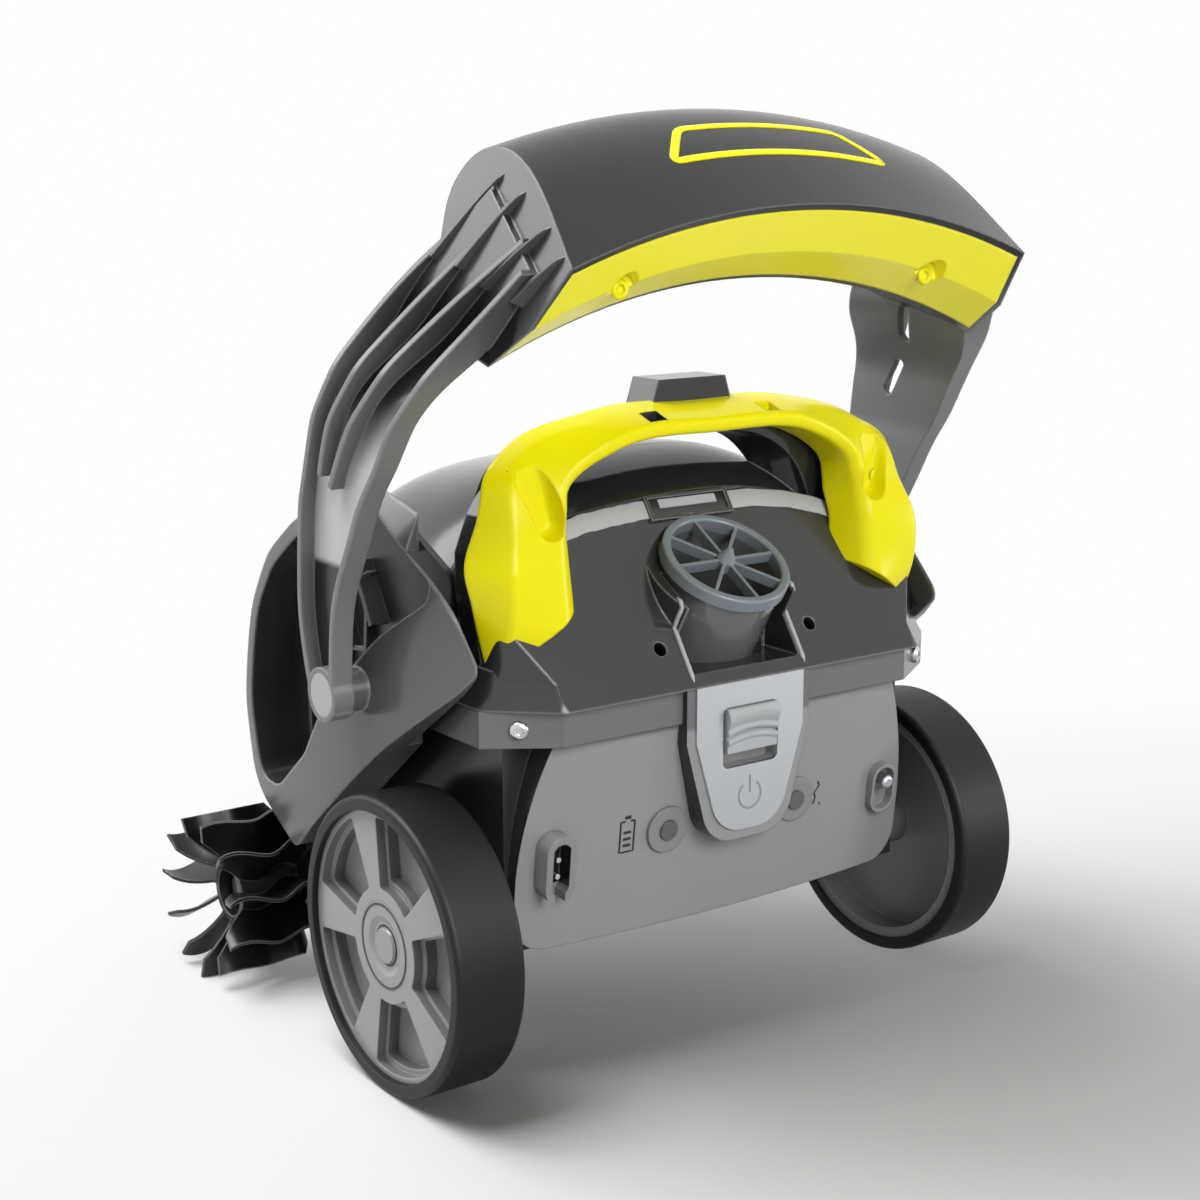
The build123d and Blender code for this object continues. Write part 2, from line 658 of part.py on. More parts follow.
# Jet
with BuildPart() as jet_tube:
    with BuildSketch(jet_plane.offset(-JET_RIM)):
        Circle(JET_TUBE_R)
        Circle(JET_TUBE_R - JET_TUBE_WALL, mode=Mode.SUBTRACT)
    extrude(amount=JET_RIM - JET_TUBE_LENGTH)
pieces["jet_tube"] = jet_tube

with BuildPart() as jet_grille:
    with BuildSketch(jet_plane):
        Circle(JET_RIM_R)
        Circle(JET_TUBE_R - JET_TUBE_WALL, mode=Mode.SUBTRACT)
    extrude(amount=-JET_RIM)
    fillet(jet_grille.faces().sort_by(jet_axis)[-1].edges(), 1.2)
    with BuildSketch(jet_plane.offset(-JET_RIM)):
        with PolarLocations(0, VANES):
            with Locations((JET_TUBE_R / 2, 0)):
                Rectangle(JET_TUBE_R - JET_TUBE_WALL, VANE)
        Circle(GRILLE_HUB_R)
    extrude(amount=JET_RIM - 1)
    with BuildSketch(jet_plane.offset(-1)):
        Circle(GRILLE_HUB_R)
    extrude(amount=JET_RIM, taper=30)
pieces["jet_grille"] = jet_grille

IMPELLER_DROP = JET_TUBE_LENGTH - IMPELLER_DEPTH
with BuildPart() as blade:
    with BuildSketch(Plane.XY):
        with Locations((IMPELLER_R / 2, 0)):
            Rectangle(IMPELLER_R, 2 * VANE)
    extrude(amount=IMPELLER_DEPTH)
    with BuildSketch(Plane.XY):
        Circle(IMPELLER_R)
    extrude(amount=IMPELLER_DEPTH, mode=Mode.INTERSECT)

with BuildPart(jet_plane.offset(-JET_TUBE_LENGTH + 1)) as impeller:
    Cylinder(IMPELLER_HUB_R, IMPELLER_DEPTH, align=(Align.CENTER, Align.CENTER, Align.MIN))
    with PolarLocations(0, BLADES):
        add(blade.part)
    Cylinder(SHAFT_R, 3 * IMPELLER_DEPTH, mode=Mode.SUBTRACT)
pieces["impeller"] = impeller

with BuildPart() as motor_shaft:
    with BuildSketch(jet_plane.offset(-MOTOR_DROP - IMPELLER_DEPTH)):
        Circle(SHAFT_R)
    extrude(amount=MOTOR_DROP + IMPELLER_DEPTH - IMPELLER_DROP + 2)
pieces["motor_shaft"] = motor_shaft

with BuildPart() as pump_motor:
    with BuildSketch(jet_plane.offset(-MOTOR_DROP)):
        Circle(MOTOR_R)
    extrude(amount=-MOTOR_LENGTH)
    with BuildSketch(jet_plane.offset(-MOTOR_DROP)):
        Circle(SHAFT_R + RUN_FIT)
    extrude(amount=-IMPELLER_DEPTH - GAP, mode=Mode.SUBTRACT)
pieces["pump_motor"] = pump_motor

with BuildPart() as pump_cage:
    with BuildSketch(jet_plane.offset(-JET_TUBE_LENGTH)):
        Circle(CAGE_R)
        Circle(JET_TUBE_R - JET_TUBE_WALL, mode=Mode.SUBTRACT)
    extrude(amount=-CAGE_RING)
    with BuildSketch(jet_plane.offset(-MOTOR_DROP)):
        Circle(CAGE_R)
        Circle(MOTOR_R, mode=Mode.SUBTRACT)
    extrude(amount=-CAGE_RING)
    with BuildSketch(jet_plane.offset(-JET_TUBE_LENGTH)):
        with PolarLocations((CAGE_R + JET_TUBE_R) / 2 - 1, CAGE_POSTS, start_angle=45):
            Rectangle(CAGE_R - JET_TUBE_R, CAGE_POST)
    extrude(amount=JET_TUBE_LENGTH - MOTOR_DROP - CAGE_RING)
pieces["pump_cage"] = pump_cage

# Dome: fixed bridge behind, hinged lid in front
def hood(inset):
    """The dome's own block, or the hollow in it when inset by its wall."""
    sections = []
    for y, out, top_z in DOME_STATIONS:
        reach = y - inset * (y > LID_REAR_Y) * y / LID_FRONT_Y
        sections.append(arch(reach, HOUSING_HALF + out - inset, seam_z(y) - 2 * inset, top_z - inset))
    with BuildPart() as block:
        loft(sections)
    return block.part


hood_solid = hood(0)
hood_hollow = hood(WALL)

with BuildPart() as filter_lid:
    add(hood_solid)
    add(hood_hollow, mode=Mode.SUBTRACT)
    split(bisect_by=rear(LID_REAR_Y), keep=Keep.BOTTOM)
    split(bisect_by=seam_plane.offset(LID_GAP), keep=Keep.TOP)
    for x in (-1, 1):
        with BuildSketch(side(x * (HINGE_X + GAP))):
            with Locations((HINGE_Y, HINGE_Z)):
                Circle(HINGE_LUG_R)
            with BuildLine():
                Polyline((HINGE_Y - HINGE_LUG_R, HINGE_Z), (HINGE_Y + HINGE_LUG_R / 2, HINGE_Z),
                         (LID_FRONT_Y - WALL / 4, LID_FRONT_Z + 2 * WALL),
                         (LID_FRONT_Y - WALL * 0.8, LID_FRONT_Z + 2 * WALL),
                         (HINGE_Y - HINGE_LUG_R, LID_FRONT_Z - WALL), close=True)
            make_face()
            with Locations((HINGE_Y, HINGE_Z)):
                Circle(HINGE_R + RUN_FIT, mode=Mode.SUBTRACT)
        extrude(amount=x * HINGE_LUG)
pieces["filter_lid"] = filter_lid

with BuildPart() as lid_hinge_pin:
    with BuildSketch(side(0)):
        with Locations((HINGE_Y, HINGE_Z)):
            Circle(HINGE_R)
    extrude(amount=HINGE_X + HINGE_LUG + 2 * GAP, both=True)
pieces["lid_hinge_pin"] = lid_hinge_pin

# Carrying handle: grey bridge in front, yellow cover behind
# Each section of the cover: place and outward angle, then height over that place and Y of five corners.
GRIP_SECTIONS = [
    (0.0, 270.0, 90.0, ((18.0, -7.0), (15.5, -18.0), (11.0, -31.0), (5.0, -30.0), (3.0, -8.0))),
    (52.0, 269.0, 78.5, ((16.5, -7.0), (13.5, -18.0), (8.5, -31.0), (2.5, -30.0), (1.0, -8.0))),
    (74.0, 252.0, 42.0, ((29.0, -7.0), (25.0, -17.0), (10.0, -31.0), (5.5, -28.0), (2.0, -10.0))),
    (74.0, 240.0, 10.0, ((42.0, -16.5), (32.5, -29.0), (11.5, -34.0), (7.0, -30.5), (1.0, -13.0))),
    (0.0, 230.0, 0.0, ((121.2, -19.8), (110.0, -37.5), (86.0, -36.5), (81.5, -33.0), (75.0, -17.0))),
    (0.0, 212.0, 0.0, ((120.5, -20.8), (112.5, -38.5), (86.5, -39.0), (81.5, -36.0), (73.0, -20.0))),
    (0.0, 180.0, 0.0, ((115.5, -21.0), (113.0, -25.5), (93.0, -48.0), (87.0, -47.0), (72.0, -34.0))),
]
FOOT_TIP = (116.3, -21.1, 183.8)
FOOT_NORMAL = (0.54, 0.057, 0.84)


def grip_section(x, z, angle, corners):
    up = (cos(radians(angle)), sin(radians(angle)))
    plane = Plane(origin=at(x, 0, z), x_dir=(0, 1, 0), z_dir=(up[1], 0, -up[0]))
    with BuildSketch(plane) as section:
        with BuildLine():
            Polyline(*[(y, height) for height, y in corners], close=True)
        make_face()
    return section.sketch


grip_left = [grip_section(-x, z, 180 - angle, corners) for x, z, angle, corners in GRIP_SECTIONS[:0:-1]]
grip_right = [grip_section(x, z, angle, corners) for x, z, angle, corners in GRIP_SECTIONS]

with BuildPart() as handle_cover:
    loft(grip_left + grip_right, ruled=True)
    for x in (-1, 1):
        foot_plane = Plane(origin=at(x * FOOT_TIP[0], FOOT_TIP[1], FOOT_TIP[2]), x_dir=(0, 1, 0),
                           z_dir=(x * FOOT_NORMAL[0], FOOT_NORMAL[1], FOOT_NORMAL[2]))
        with BuildSketch(foot_plane):
            Rectangle(FOOT_TIP[0], FOOT_TIP[0])
        extrude(amount=-FOOT_TIP[0], mode=Mode.SUBTRACT)
    add(deck_solid, mode=Mode.SUBTRACT)
    with BuildSketch(rear(WELL_FLOOR_Y)):
        for x in (-1, 1):
            with Locations(Location((x * WELL_X, WELL_Z, 0), (0, 0, 90 + x * 15))):
                SlotCenterToCenter(WELL_LENGTH, 2 * WELL_R)
    extrude(amount=-2 * WELL_FLOOR_Y, mode=Mode.SUBTRACT)
    with BuildSketch(rear(WELL_FLOOR_Y)):
        with Locations((WELL_X, WELL_Z), (-WELL_X, WELL_Z)):
            Circle(SCREW_R)
    extrude(amount=-SCREW_LENGTH, mode=Mode.SUBTRACT)
    with BuildSketch(plan(WINDOW_Z)):
        with Locations((WINDOW_X, WINDOW_Y), (-WINDOW_X, WINDOW_Y)):
            Rectangle(WINDOW, WINDOW)
    extrude(amount=4 * WINDOW, mode=Mode.SUBTRACT)
    add(handle_cover.solids().sort_by(SortBy.VOLUME)[-1], mode=Mode.REPLACE)
pieces["handle_cover"] = handle_cover

with BuildPart() as handle_screws:
    with BuildSketch(rear(WELL_FLOOR_Y)):
        with Locations((WELL_X, WELL_Z), (-WELL_X, WELL_Z)):
            Circle(SCREW_HEAD_R)
    extrude(amount=SCREW_HEAD)
    with BuildSketch(rear(WELL_FLOOR_Y)):
        with Locations((WELL_X, WELL_Z), (-WELL_X, WELL_Z)):
            Circle(SCREW_R)
    extrude(amount=-SCREW_LENGTH)
pieces["handle_screws"] = handle_screws


def bridge_outline(y, outer, inner):
    """Arched band seen from the rear: right-hand points of its outer and inner edge, from the crown down."""
    with BuildSketch(rear(y)) as band:
        with BuildLine():
            over = Spline(*[(-x, z) for x, z in reversed(outer[1:])], *outer)
            under = Spline(*[(-x, z) for x, z in reversed(inner[1:])], *inner)
            Line(over @ 0, under @ 0)
            Line(over @ 1, under @ 1)
        make_face()
    return band.sketch


bridge_rear = bridge_outline(
    GRIP_Y,
    [(0, 288), (48, 285), (84, 277), (103.7, 266.5), (113, 247.6), (118, 225), (116, 185)],
    [(0, 272), (40, 269), (62, 256), (73, 236), (77, 212), (78, 185)])
bridge_front = bridge_outline(
    BRIDGE_FRONT_Y,
    [(0, 285), (40, 279.5), (67, 270), (84, 257), (97, 238), (104, 214), (106, 185)],
    [(0, 270), (34, 267.5), (51, 254), (62, 234), (66, 212), (67, 185)])

with BuildPart() as top_bridge:
    loft([bridge_rear, bridge_front], ruled=True)
    with BuildSketch(rear(GRIP_Y)):
        for x in (-1, 1):
            with BuildLine():
                Polyline((x * 86, 262), (x * 103, 266), (x * 115, 247.6), (x * 121, 232), (x * 121, 215),
                         (x * 117, 186), (x * 80, 200), (x * 84, 240), close=True)
            make_face()
    extrude(amount=GRIP_Y - BRIDGE_REAR_Y)
    with BuildSketch(rear(TAB_REAR_Y)):
        with BuildLine():
            Polyline(*mirrored([(TAB_HALF + TAB_SPREAD, BRIDGE_TOP_Z - WALL), (TAB_HALF, TAB_Z)]), close=True)
        make_face()
    extrude(amount=TAB_REAR_Y - TAB_FRONT_Y)
    add(hood_solid)
    split(bisect_by=rear(LID_REAR_Y - GAP), keep=Keep.TOP)
    add(hood_hollow, mode=Mode.SUBTRACT)
    add(deck_solid, mode=Mode.SUBTRACT)
    add(handle_cover.part, mode=Mode.SUBTRACT)
    add(handle_screws.part, mode=Mode.SUBTRACT)
    split(bisect_by=seam_plane, keep=Keep.TOP)
pieces["top_bridge"] = top_bridge

# Side frames with the eye-shaped openings
frame_points = [(9, 253), (54, 255), (112, 230), (130, 213), (139, 188), (143, 141), (137, 100), (100, 78),
                (84, 92), (19, 145), (-25, 176), (-38, 188), (-4, 225)]
eye_points = [(130, 106), (137, 141), (133, 186), (124, 207), (107, 223), (60, 247), (0, 219), (-1, 211),
              (27, 192), (63, 158), (83, 128), (112, 105)]
frame_corners = [FRAME_CORNER_R, 45, 25, 25, 60, 60, 26, FRAME_CORNER_R, 40, 150, 40, FRAME_CORNER_R, 40]
eye_corners = [10, 60, 50, 22, 30, 14, EYE_CORNER_R, EYE_CORNER_R, 50, 60, 26, 20]
with BuildSketch() as frame_outline:
    with BuildLine():
        FilletPolyline(*frame_points, radius=frame_corners, close=True)
    make_face()
with BuildSketch() as eye_outline:
    with BuildLine():
        FilletPolyline(*eye_points, radius=eye_corners, close=True)
    make_face()
with BuildSketch() as eye_rim:
    add(eye_outline.sketch)
    offset(amount=FRAME_RIM, kind=Kind.ARC)
with BuildSketch() as frame_inside:
    add(frame_outline.sketch)
    offset(amount=-FRAME_WALL)
    add(eye_rim.sketch, mode=Mode.SUBTRACT)


def barrel(inset):
    """Bulging outer side of a side frame, turned about an upright axis."""
    turn = radians(BARREL_TURN)
    start = Plane(at(FRAME_OUTER_X - BARREL_R, BARREL_Y, 0), x_dir=(cos(turn), -sin(turn), 0),
                  z_dir=(-sin(turn), -cos(turn), 0))
    skin_r = BARREL_R - inset
    core_r = BARREL_R - FRAME_OUTER_X + FRAME_X - 4 * FRAME_WALL
    with BuildPart() as drum:
        with BuildSketch(start):
            with BuildLine():
                skin = Spline((skin_r - 5, 60), (skin_r, 150), (skin_r - 9, 215), (skin_r - 29, 262))
                Polyline(skin @ 1, (core_r, 262), (core_r, 60), skin @ 0)
            make_face()
        revolve(axis=Axis(at(FRAME_OUTER_X - BARREL_R, BARREL_Y, 0), (0, 0, 1)),
                revolution_arc=2 * BARREL_TURN)
    return drum.part


barrel_solid = barrel(0)
barrel_hollow = barrel(FRAME_WALL)

with BuildPart() as frame_hollow:
    with BuildSketch(side(FRAME_X)):
        add(frame_inside.sketch)
    extrude(amount=FRAME_OUTER_X - FRAME_X)
    add(barrel_hollow, mode=Mode.INTERSECT)

with BuildPart() as right_side_frame:
    with BuildSketch(side(FRAME_X)):
        add(frame_outline.sketch)
        add(eye_outline.sketch, mode=Mode.SUBTRACT)
    extrude(amount=FRAME_OUTER_X - FRAME_X)
    add(barrel_solid, mode=Mode.INTERSECT)
    add(frame_hollow.part, mode=Mode.SUBTRACT)
    with BuildSketch(plan(SEAM_Z)):
        with Locations((FRAME_REAR_X - FRAME_X, DECK_Y)):
            Rectangle(2 * FRAME_X, 2 * (FLANGE_FRONT_Y + FRAME_WALL - DECK_Y))
    extrude(amount=FRAME_X, both=True, mode=Mode.SUBTRACT)
    with BuildSketch(side(FRAME_X)):
        with Locations((PIVOT_Y, PIVOT_Z)):
            Circle(PIVOT_CAP_R)
    extrude(amount=ARM_INNER_X - GAP - FRAME_X)
    with BuildSketch(side(FRAME_X)):
        with Locations((PIVOT_Y, PIVOT_Z)):
            Circle(PIVOT_R)
    extrude(amount=ARM_INNER_X - FRAME_X, mode=Mode.SUBTRACT)
right_pieces["side_frame"] = right_side_frame

with BuildPart() as right_side_liner:
    with BuildSketch(side(FRAME_X)):
        add(eye_outline.sketch)
        offset(amount=FRAME_RIM - GAP, kind=Kind.ARC)
    extrude(amount=-LINER)
    with BuildSketch(side(FRAME_X)):
        for y, z in ((75, 136), (105, 118), (127, 116)):
            with Locations((y, z)):
                Circle(SPACER_R)
    extrude(amount=HOUSING_HALF - FRAME_X)
    with BuildSketch(side(FRAME_X)):
        for y, z, tilt in ((55, 205, 60), (80, 190, 60), (103, 170, 60)):
            with Locations(Location((y, z, 0), (0, 0, tilt))):
                Rectangle(30, WALL)
    extrude(amount=3 * LINER)
right_pieces["side_liner"] = right_side_liner

with BuildPart() as right_pivot_pin:
    with BuildSketch(side(FRAME_X)):
        with Locations((PIVOT_Y, PIVOT_Z)):
            Circle(PIVOT_R)
    extrude(amount=ARM_OUTER_X - PIVOT_CAP - GAP - FRAME_X)
right_pieces["pivot_pin"] = right_pivot_pin

# Float
float_axis = Axis(at(0, 0, FLOAT_ARCH_Z), (0, 1, 0))
FLOAT_REAR = (-91.0, 373.0)
FLOAT_FRONT = (6.0, 388.0)
FLOAT_LOW_FRONT = (1.0, 352.0)
FLOAT_LOW_REAR = (-50.0, 342.0)
FLOAT_CREASE = (-72.0, 353.5)
FLOAT_CREST = [FLOAT_REAR, (-60.0, 396.5), (-25.0, 411.0), (-7.0, 408.5), (4.0, 399.0), FLOAT_FRONT]
FLOAT_MIDDLE = (-36.0, 374.0)


def inward(point, depth):
    """A point of the float's section moved towards its middle."""
    step = (FLOAT_MIDDLE[0] - point[0], FLOAT_MIDDLE[1] - point[1])
    reach = hypot(*step)
    return (point[0] + step[0] * depth / reach, point[1] + step[1] * depth / reach)


def float_section(depth):
    """Section of the float along the middle, seen from the right."""
    with BuildSketch() as section:
        with BuildLine():
            Spline(*[inward(point, depth) for point in FLOAT_CREST])
            Polyline(*[inward(point, depth)
                       for point in (FLOAT_FRONT, FLOAT_LOW_FRONT, FLOAT_LOW_REAR, FLOAT_CREASE, FLOAT_REAR)])
        make_face()
    return section.sketch


float_profile = float_section(0)
float_inside = float_section(1.1 * WALL)
with BuildSketch() as cap_profile:
    add(float_profile)
    offset(amount=-CAP_WALL, mode=Mode.SUBTRACT)
    with BuildLine():
        Polyline((FLOAT_REAR[0] - 5, FLOAT_REAR[1] - CAP_EDGE),
                 (FLOAT_REAR[0] + 10, FLOAT_REAR[1] - CAP_EDGE),
                 (FLOAT_LOW_REAR[0] - CAP_EDGE, FLOAT_LOW_REAR[1] + 10),
                 (FLOAT_LOW_REAR[0] - CAP_EDGE, FLOAT_LOW_REAR[1] - 5),
                 (FLOAT_REAR[0] - 5, FLOAT_LOW_REAR[1] - 5), close=True)
    make_face(mode=Mode.INTERSECT)


def arched(profile, edge):
    """Sweep a float profile over its arch and cut it off at both slanting sides, set in by an edge."""
    with BuildPart() as form:
        with BuildSketch(side(0)):
            add(profile)
        revolve(axis=float_axis, revolution_arc=FLOAT_SWEEP)
        mirror(about=Plane.YZ)
        for x in (-1, 1):
            cut = Plane(at(x * FLOAT_HALF_TOP, 0, FLOAT_TOP_Z), x_dir=(0, 1, 0), z_dir=(x, 0, FLOAT_FLARE))
            split(bisect_by=cut.offset(-edge), keep=Keep.BOTTOM)
    return form.part


float_solid = arched(float_profile, 0)
float_hollow = arched(float_inside, WALL)
cap_solid = arched(cap_profile.sketch, CAP_EDGE)

front_rib = [(45, 160), (53, 184), (56, 206), (55, 223), (53, 246), (49, 263), (41, 292), (30, 315),
             (12, 343), (-10, 364), (-29, 379)]
rear_rib = [(30, 160), (29, 188), (25, 210), (11.6, 236), (1, 255), (-10, 270), (-19.6, 286), (-29.3, 298.4),
            (-39, 310), (-55, 330), (-69, 349)]
second_rib = [(36, 262), (27, 290), (8, 318), (-15, 345), (-42, 373)]
third_rib = [(27, 258), (12, 285), (-8, 310), (-32, 335), (-60, 360)]

with BuildSketch() as arm_outline:
    with BuildLine():
        front_edge = Spline(*front_rib)
        rear_edge = Spline(*rear_rib)
        Line(front_edge @ 0, rear_edge @ 0)
        Line(front_edge @ 1, rear_edge @ 1)
    make_face()
    with Locations((PIVOT_Y, PIVOT_Z)):
        Circle(PIVOT_BOSS_R)
with BuildSketch() as rib_outline:
    for points in (front_rib, rear_rib, second_rib, third_rib):
        with BuildLine() as rib_line:
            Spline(*points)
        trace(rib_line.line, RIB)
with BuildSketch() as arm_windows:
    for y, z in ((16.5, 286), (-4, 314)):
        with Locations(Location((y, z, 0), (0, 0, 127))):
            SlotOverall(22, 6)


def arm_band(outer):
    """Arm seen from the rear: from its inner side out to the given right-hand points, from below upwards."""
    with BuildSketch(rear(0)) as band:
        with BuildLine():
            inner = FilletPolyline((ARM_INNER_X, PIVOT_Z - 2 * PIVOT_BOSS_R), (ARM_INNER_X, 262),
                                   (ARM_INNER_X - 4.5, 298), (FLOAT_HALF_TOP + 20, 321),
                                   (FLOAT_HALF_TOP - 0.5, 395), radius=ARM_BEND_R)
            skin = FilletPolyline(*outer, radius=ARM_BEND_R)
            Line(inner @ 0, skin @ 0)
            Line(inner @ 1, skin @ 1)
        make_face()
    return band.sketch


floor_band = arm_band([(ARM_INNER_X + ARM_FLOOR, PIVOT_Z - 2 * PIVOT_BOSS_R), (ARM_INNER_X + ARM_FLOOR, 264),
                       (ARM_INNER_X - 1.6, 299.5), (FLOAT_HALF_TOP + 24.5, 322), (FLOAT_HALF_TOP + 5, 392)])
rib_band = arm_band([(ARM_OUTER_X, PIVOT_Z - 2 * PIVOT_BOSS_R), (ARM_OUTER_X, 250), (ARM_OUTER_X - 2, 286),
                     (ARM_OUTER_X - 8.5, 310), (FLOAT_HALF_TOP + 11, 366), (FLOAT_HALF_TOP + 3, 394)])

with BuildPart() as arm_floor:
    with BuildSketch(side(FLOAT_HALF_TOP)):
        add(arm_outline.sketch)
        add(arm_windows.sketch, mode=Mode.SUBTRACT)
    extrude(amount=ARM_OUTER_X - FLOAT_HALF_TOP)
    extrude(floor_band, amount=200, both=True, mode=Mode.INTERSECT)

with BuildPart() as arm_ribs:
    with BuildSketch(side(FLOAT_HALF_TOP)):
        add(rib_outline.sketch)
    extrude(amount=ARM_OUTER_X - FLOAT_HALF_TOP)
    extrude(rib_band, amount=200, both=True, mode=Mode.INTERSECT)

with BuildPart() as right_arm:
    add(arm_floor.part)
    add(arm_ribs.part)
    with BuildSketch(side(ARM_INNER_X)):
        with Locations((PIVOT_Y, PIVOT_Z)):
            Circle(PIVOT_BOSS_R)
    extrude(amount=ARM_OUTER_X - ARM_INNER_X)
    with BuildSketch(side(ARM_OUTER_X)):
        with Locations((PIVOT_Y, PIVOT_Z)):
            Circle(PIVOT_CAP_R)
    extrude(amount=-PIVOT_CAP, mode=Mode.SUBTRACT)
    with BuildSketch(side(ARM_INNER_X)):
        with Locations((PIVOT_Y, PIVOT_Z)):
            Circle(PIVOT_R + RUN_FIT)
    extrude(amount=ARM_OUTER_X - ARM_INNER_X, mode=Mode.SUBTRACT)

with BuildPart() as float_shell:
    add(float_solid)
    add(float_hollow, mode=Mode.SUBTRACT)
    add(cap_solid, mode=Mode.SUBTRACT)
    add(right_arm.part)
    mirror(right_arm.part, about=Plane.YZ)
pieces["float_shell"] = float_shell

SCALLOP_Y = FLOAT_CREASE[0] + SCALLOP_R / 2
with BuildPart() as scallop_pads:
    with BuildSketch(rear(SCALLOP_Y + SCREW_LENGTH + 1)):
        with Locations((SCALLOP_X, SCALLOP_Z), (-SCALLOP_X, SCALLOP_Z)):
            Circle(SCALLOP_R + WALL)
    extrude(amount=-FLOAT_REAR[0])
    add(arched(float_profile, CAP_EDGE), mode=Mode.INTERSECT)
    add(float_shell.part, mode=Mode.SUBTRACT)

with BuildPart() as float_cap:
    add(cap_solid)
    add(scallop_pads.part)
    with BuildSketch(rear(SCALLOP_Y)):
        with Locations((SCALLOP_X, SCALLOP_Z), (-SCALLOP_X, SCALLOP_Z)):
            Circle(SCALLOP_R)
    extrude(amount=-FLOAT_REAR[0], mode=Mode.SUBTRACT)
    with BuildSketch(rear(SCALLOP_Y)):
        with Locations((SCALLOP_X, SCALLOP_Z), (-SCALLOP_X, SCALLOP_Z)):
            Circle(SCREW_R)
    extrude(amount=-SCREW_LENGTH, mode=Mode.SUBTRACT)
pieces["float_cap"] = float_cap

with BuildPart() as float_cap_screws:
    with BuildSketch(rear(SCALLOP_Y)):
        with Locations((SCALLOP_X, SCALLOP_Z), (-SCALLOP_X, SCALLOP_Z)):
            Circle(SCREW_HEAD_R)
    extrude(amount=SCREW_HEAD)
    with BuildSketch(rear(SCALLOP_Y)):
        with Locations((SCALLOP_X, SCALLOP_Z), (-SCALLOP_X, SCALLOP_Z)):
            Circle(SCREW_R)
    extrude(amount=-SCREW_LENGTH)
pieces["float_cap_screws"] = float_cap_screws

with BuildPart() as right_pivot_cap:
    with BuildSketch(side(ARM_OUTER_X)):
        with Locations((PIVOT_Y, PIVOT_Z)):
            Circle(PIVOT_CAP_R)
    extrude(amount=-PIVOT_CAP)
right_pieces["pivot_cap"] = right_pivot_cap

# Paddle brushes
brush_plane = Plane(origin=at(0, BRUSH_Y, BRUSH_Z), x_dir=(0, 1, 0), z_dir=(1, 0, 0))
brush_profile = Plane(origin=at(0, BRUSH_Y, BRUSH_Z), x_dir=(1, 0, 0), z_dir=(0, -1, 0))
brush_axis = Axis(brush_plane.origin, (1, 0, 0))
FIN_ROOT_R = BRUSH_HUB_R - WALL / 2
CUP_FLOOR_X = BRUSH_HUB_X - BRUSH_CUP

with BuildPart() as fin:
    with BuildSketch(Plane.YZ.offset(FIN_ROOT_R)):
        with BuildLine():
            wave = [(0, BRUSH_OUTER_X), (0, BRUSH_HUB_X), (FIN_WAVE, BRUSH_HUB_X - 10),
                    (-FIN_WAVE, BRUSH_INNER_X + 11), (0, BRUSH_INNER_X)]
            front_side = Spline(*[(y + FIN / 2, x) for y, x in wave])
            back_side = Spline(*[(y - FIN / 2, x) for y, x in wave])
            Line(front_side @ 0, back_side @ 0)
            Line(front_side @ 1, back_side @ 1)
        make_face()
    extrude(amount=BRUSH_R - FIN_ROOT_R)
    with BuildSketch(Plane.XZ):
        with BuildLine():
            Polyline((FIN_ROOT_R, BRUSH_INNER_X), (BRUSH_R - 6, BRUSH_INNER_X), (BRUSH_R, BRUSH_INNER_X + 4),
                     (BRUSH_R, BRUSH_OUTER_X), (BRUSH_R - 9, BRUSH_OUTER_X - 1.5),
                     (BRUSH_HUB_R + 1, BRUSH_HUB_X + 1), (FIN_ROOT_R, BRUSH_HUB_X), close=True)
        make_face()
    extrude(amount=BRUSH_R, both=True, mode=Mode.INTERSECT)

with BuildPart(brush_plane) as right_paddle_brush:
    with BuildSketch(brush_profile):
        with BuildLine():
            Polyline((BRUSH_INNER_X, BRUSH_AXLE_R + RUN_FIT), (CUP_FLOOR_X, BRUSH_AXLE_R + RUN_FIT),
                     (CUP_FLOOR_X, BRUSH_CUP_R), (BRUSH_HUB_X, BRUSH_CUP_R + 1), (BRUSH_HUB_X, BRUSH_HUB_R),
                     (BRUSH_INNER_X, BRUSH_HUB_R), close=True)
        make_face()
    revolve(axis=brush_axis)
    with PolarLocations(0, FINS, start_angle=FIN_START):
        add(fin.part)
right_pieces["paddle_brush"] = right_paddle_brush

with BuildPart() as right_brush_axle:
    with BuildSketch(brush_profile):
        with BuildLine():
            Polyline((HOUSING_HALF - WALL, 0), (CUP_FLOOR_X + GAP + WALL, 0),
                     (CUP_FLOOR_X + GAP + WALL, BRUSH_HEAD_R), (CUP_FLOOR_X + GAP, BRUSH_HEAD_R),
                     (CUP_FLOOR_X + GAP, BRUSH_AXLE_R),
                     (HOUSING_HALF - WALL, BRUSH_AXLE_R), close=True)
        make_face()
    revolve(axis=brush_axis)
right_pieces["brush_axle"] = right_brush_axle

with BuildPart() as right_brush_bracket:
    with BuildSketch(side(HOUSING_HALF)) as bracket_outline:
        with BuildLine():
            Polyline((112, 98), (146, 98), (176, 52), (176, 30), (148, 28), (116, 60), close=True)
        make_face()
        fillet(bracket_outline.vertices(), 9)
        with Locations((BRUSH_Y, BRUSH_Z)):
            Circle(BRUSH_AXLE_R, mode=Mode.SUBTRACT)
    extrude(amount=BRACKET)
right_pieces["brush_bracket"] = right_brush_bracket

# Switch, lights and sockets
SLIDER_Z = SLIDER_WINDOW_Z + (SLIDER_WINDOW_H - SLIDER_H) / 2 - GAP

with BuildPart() as switch_plate:
    with BuildSketch(rear(PLATE_Y)):
        add(plate_shield)
        add(slider_window, mode=Mode.SUBTRACT)
    extrude(amount=PLATE)
pieces["switch_plate"] = switch_plate

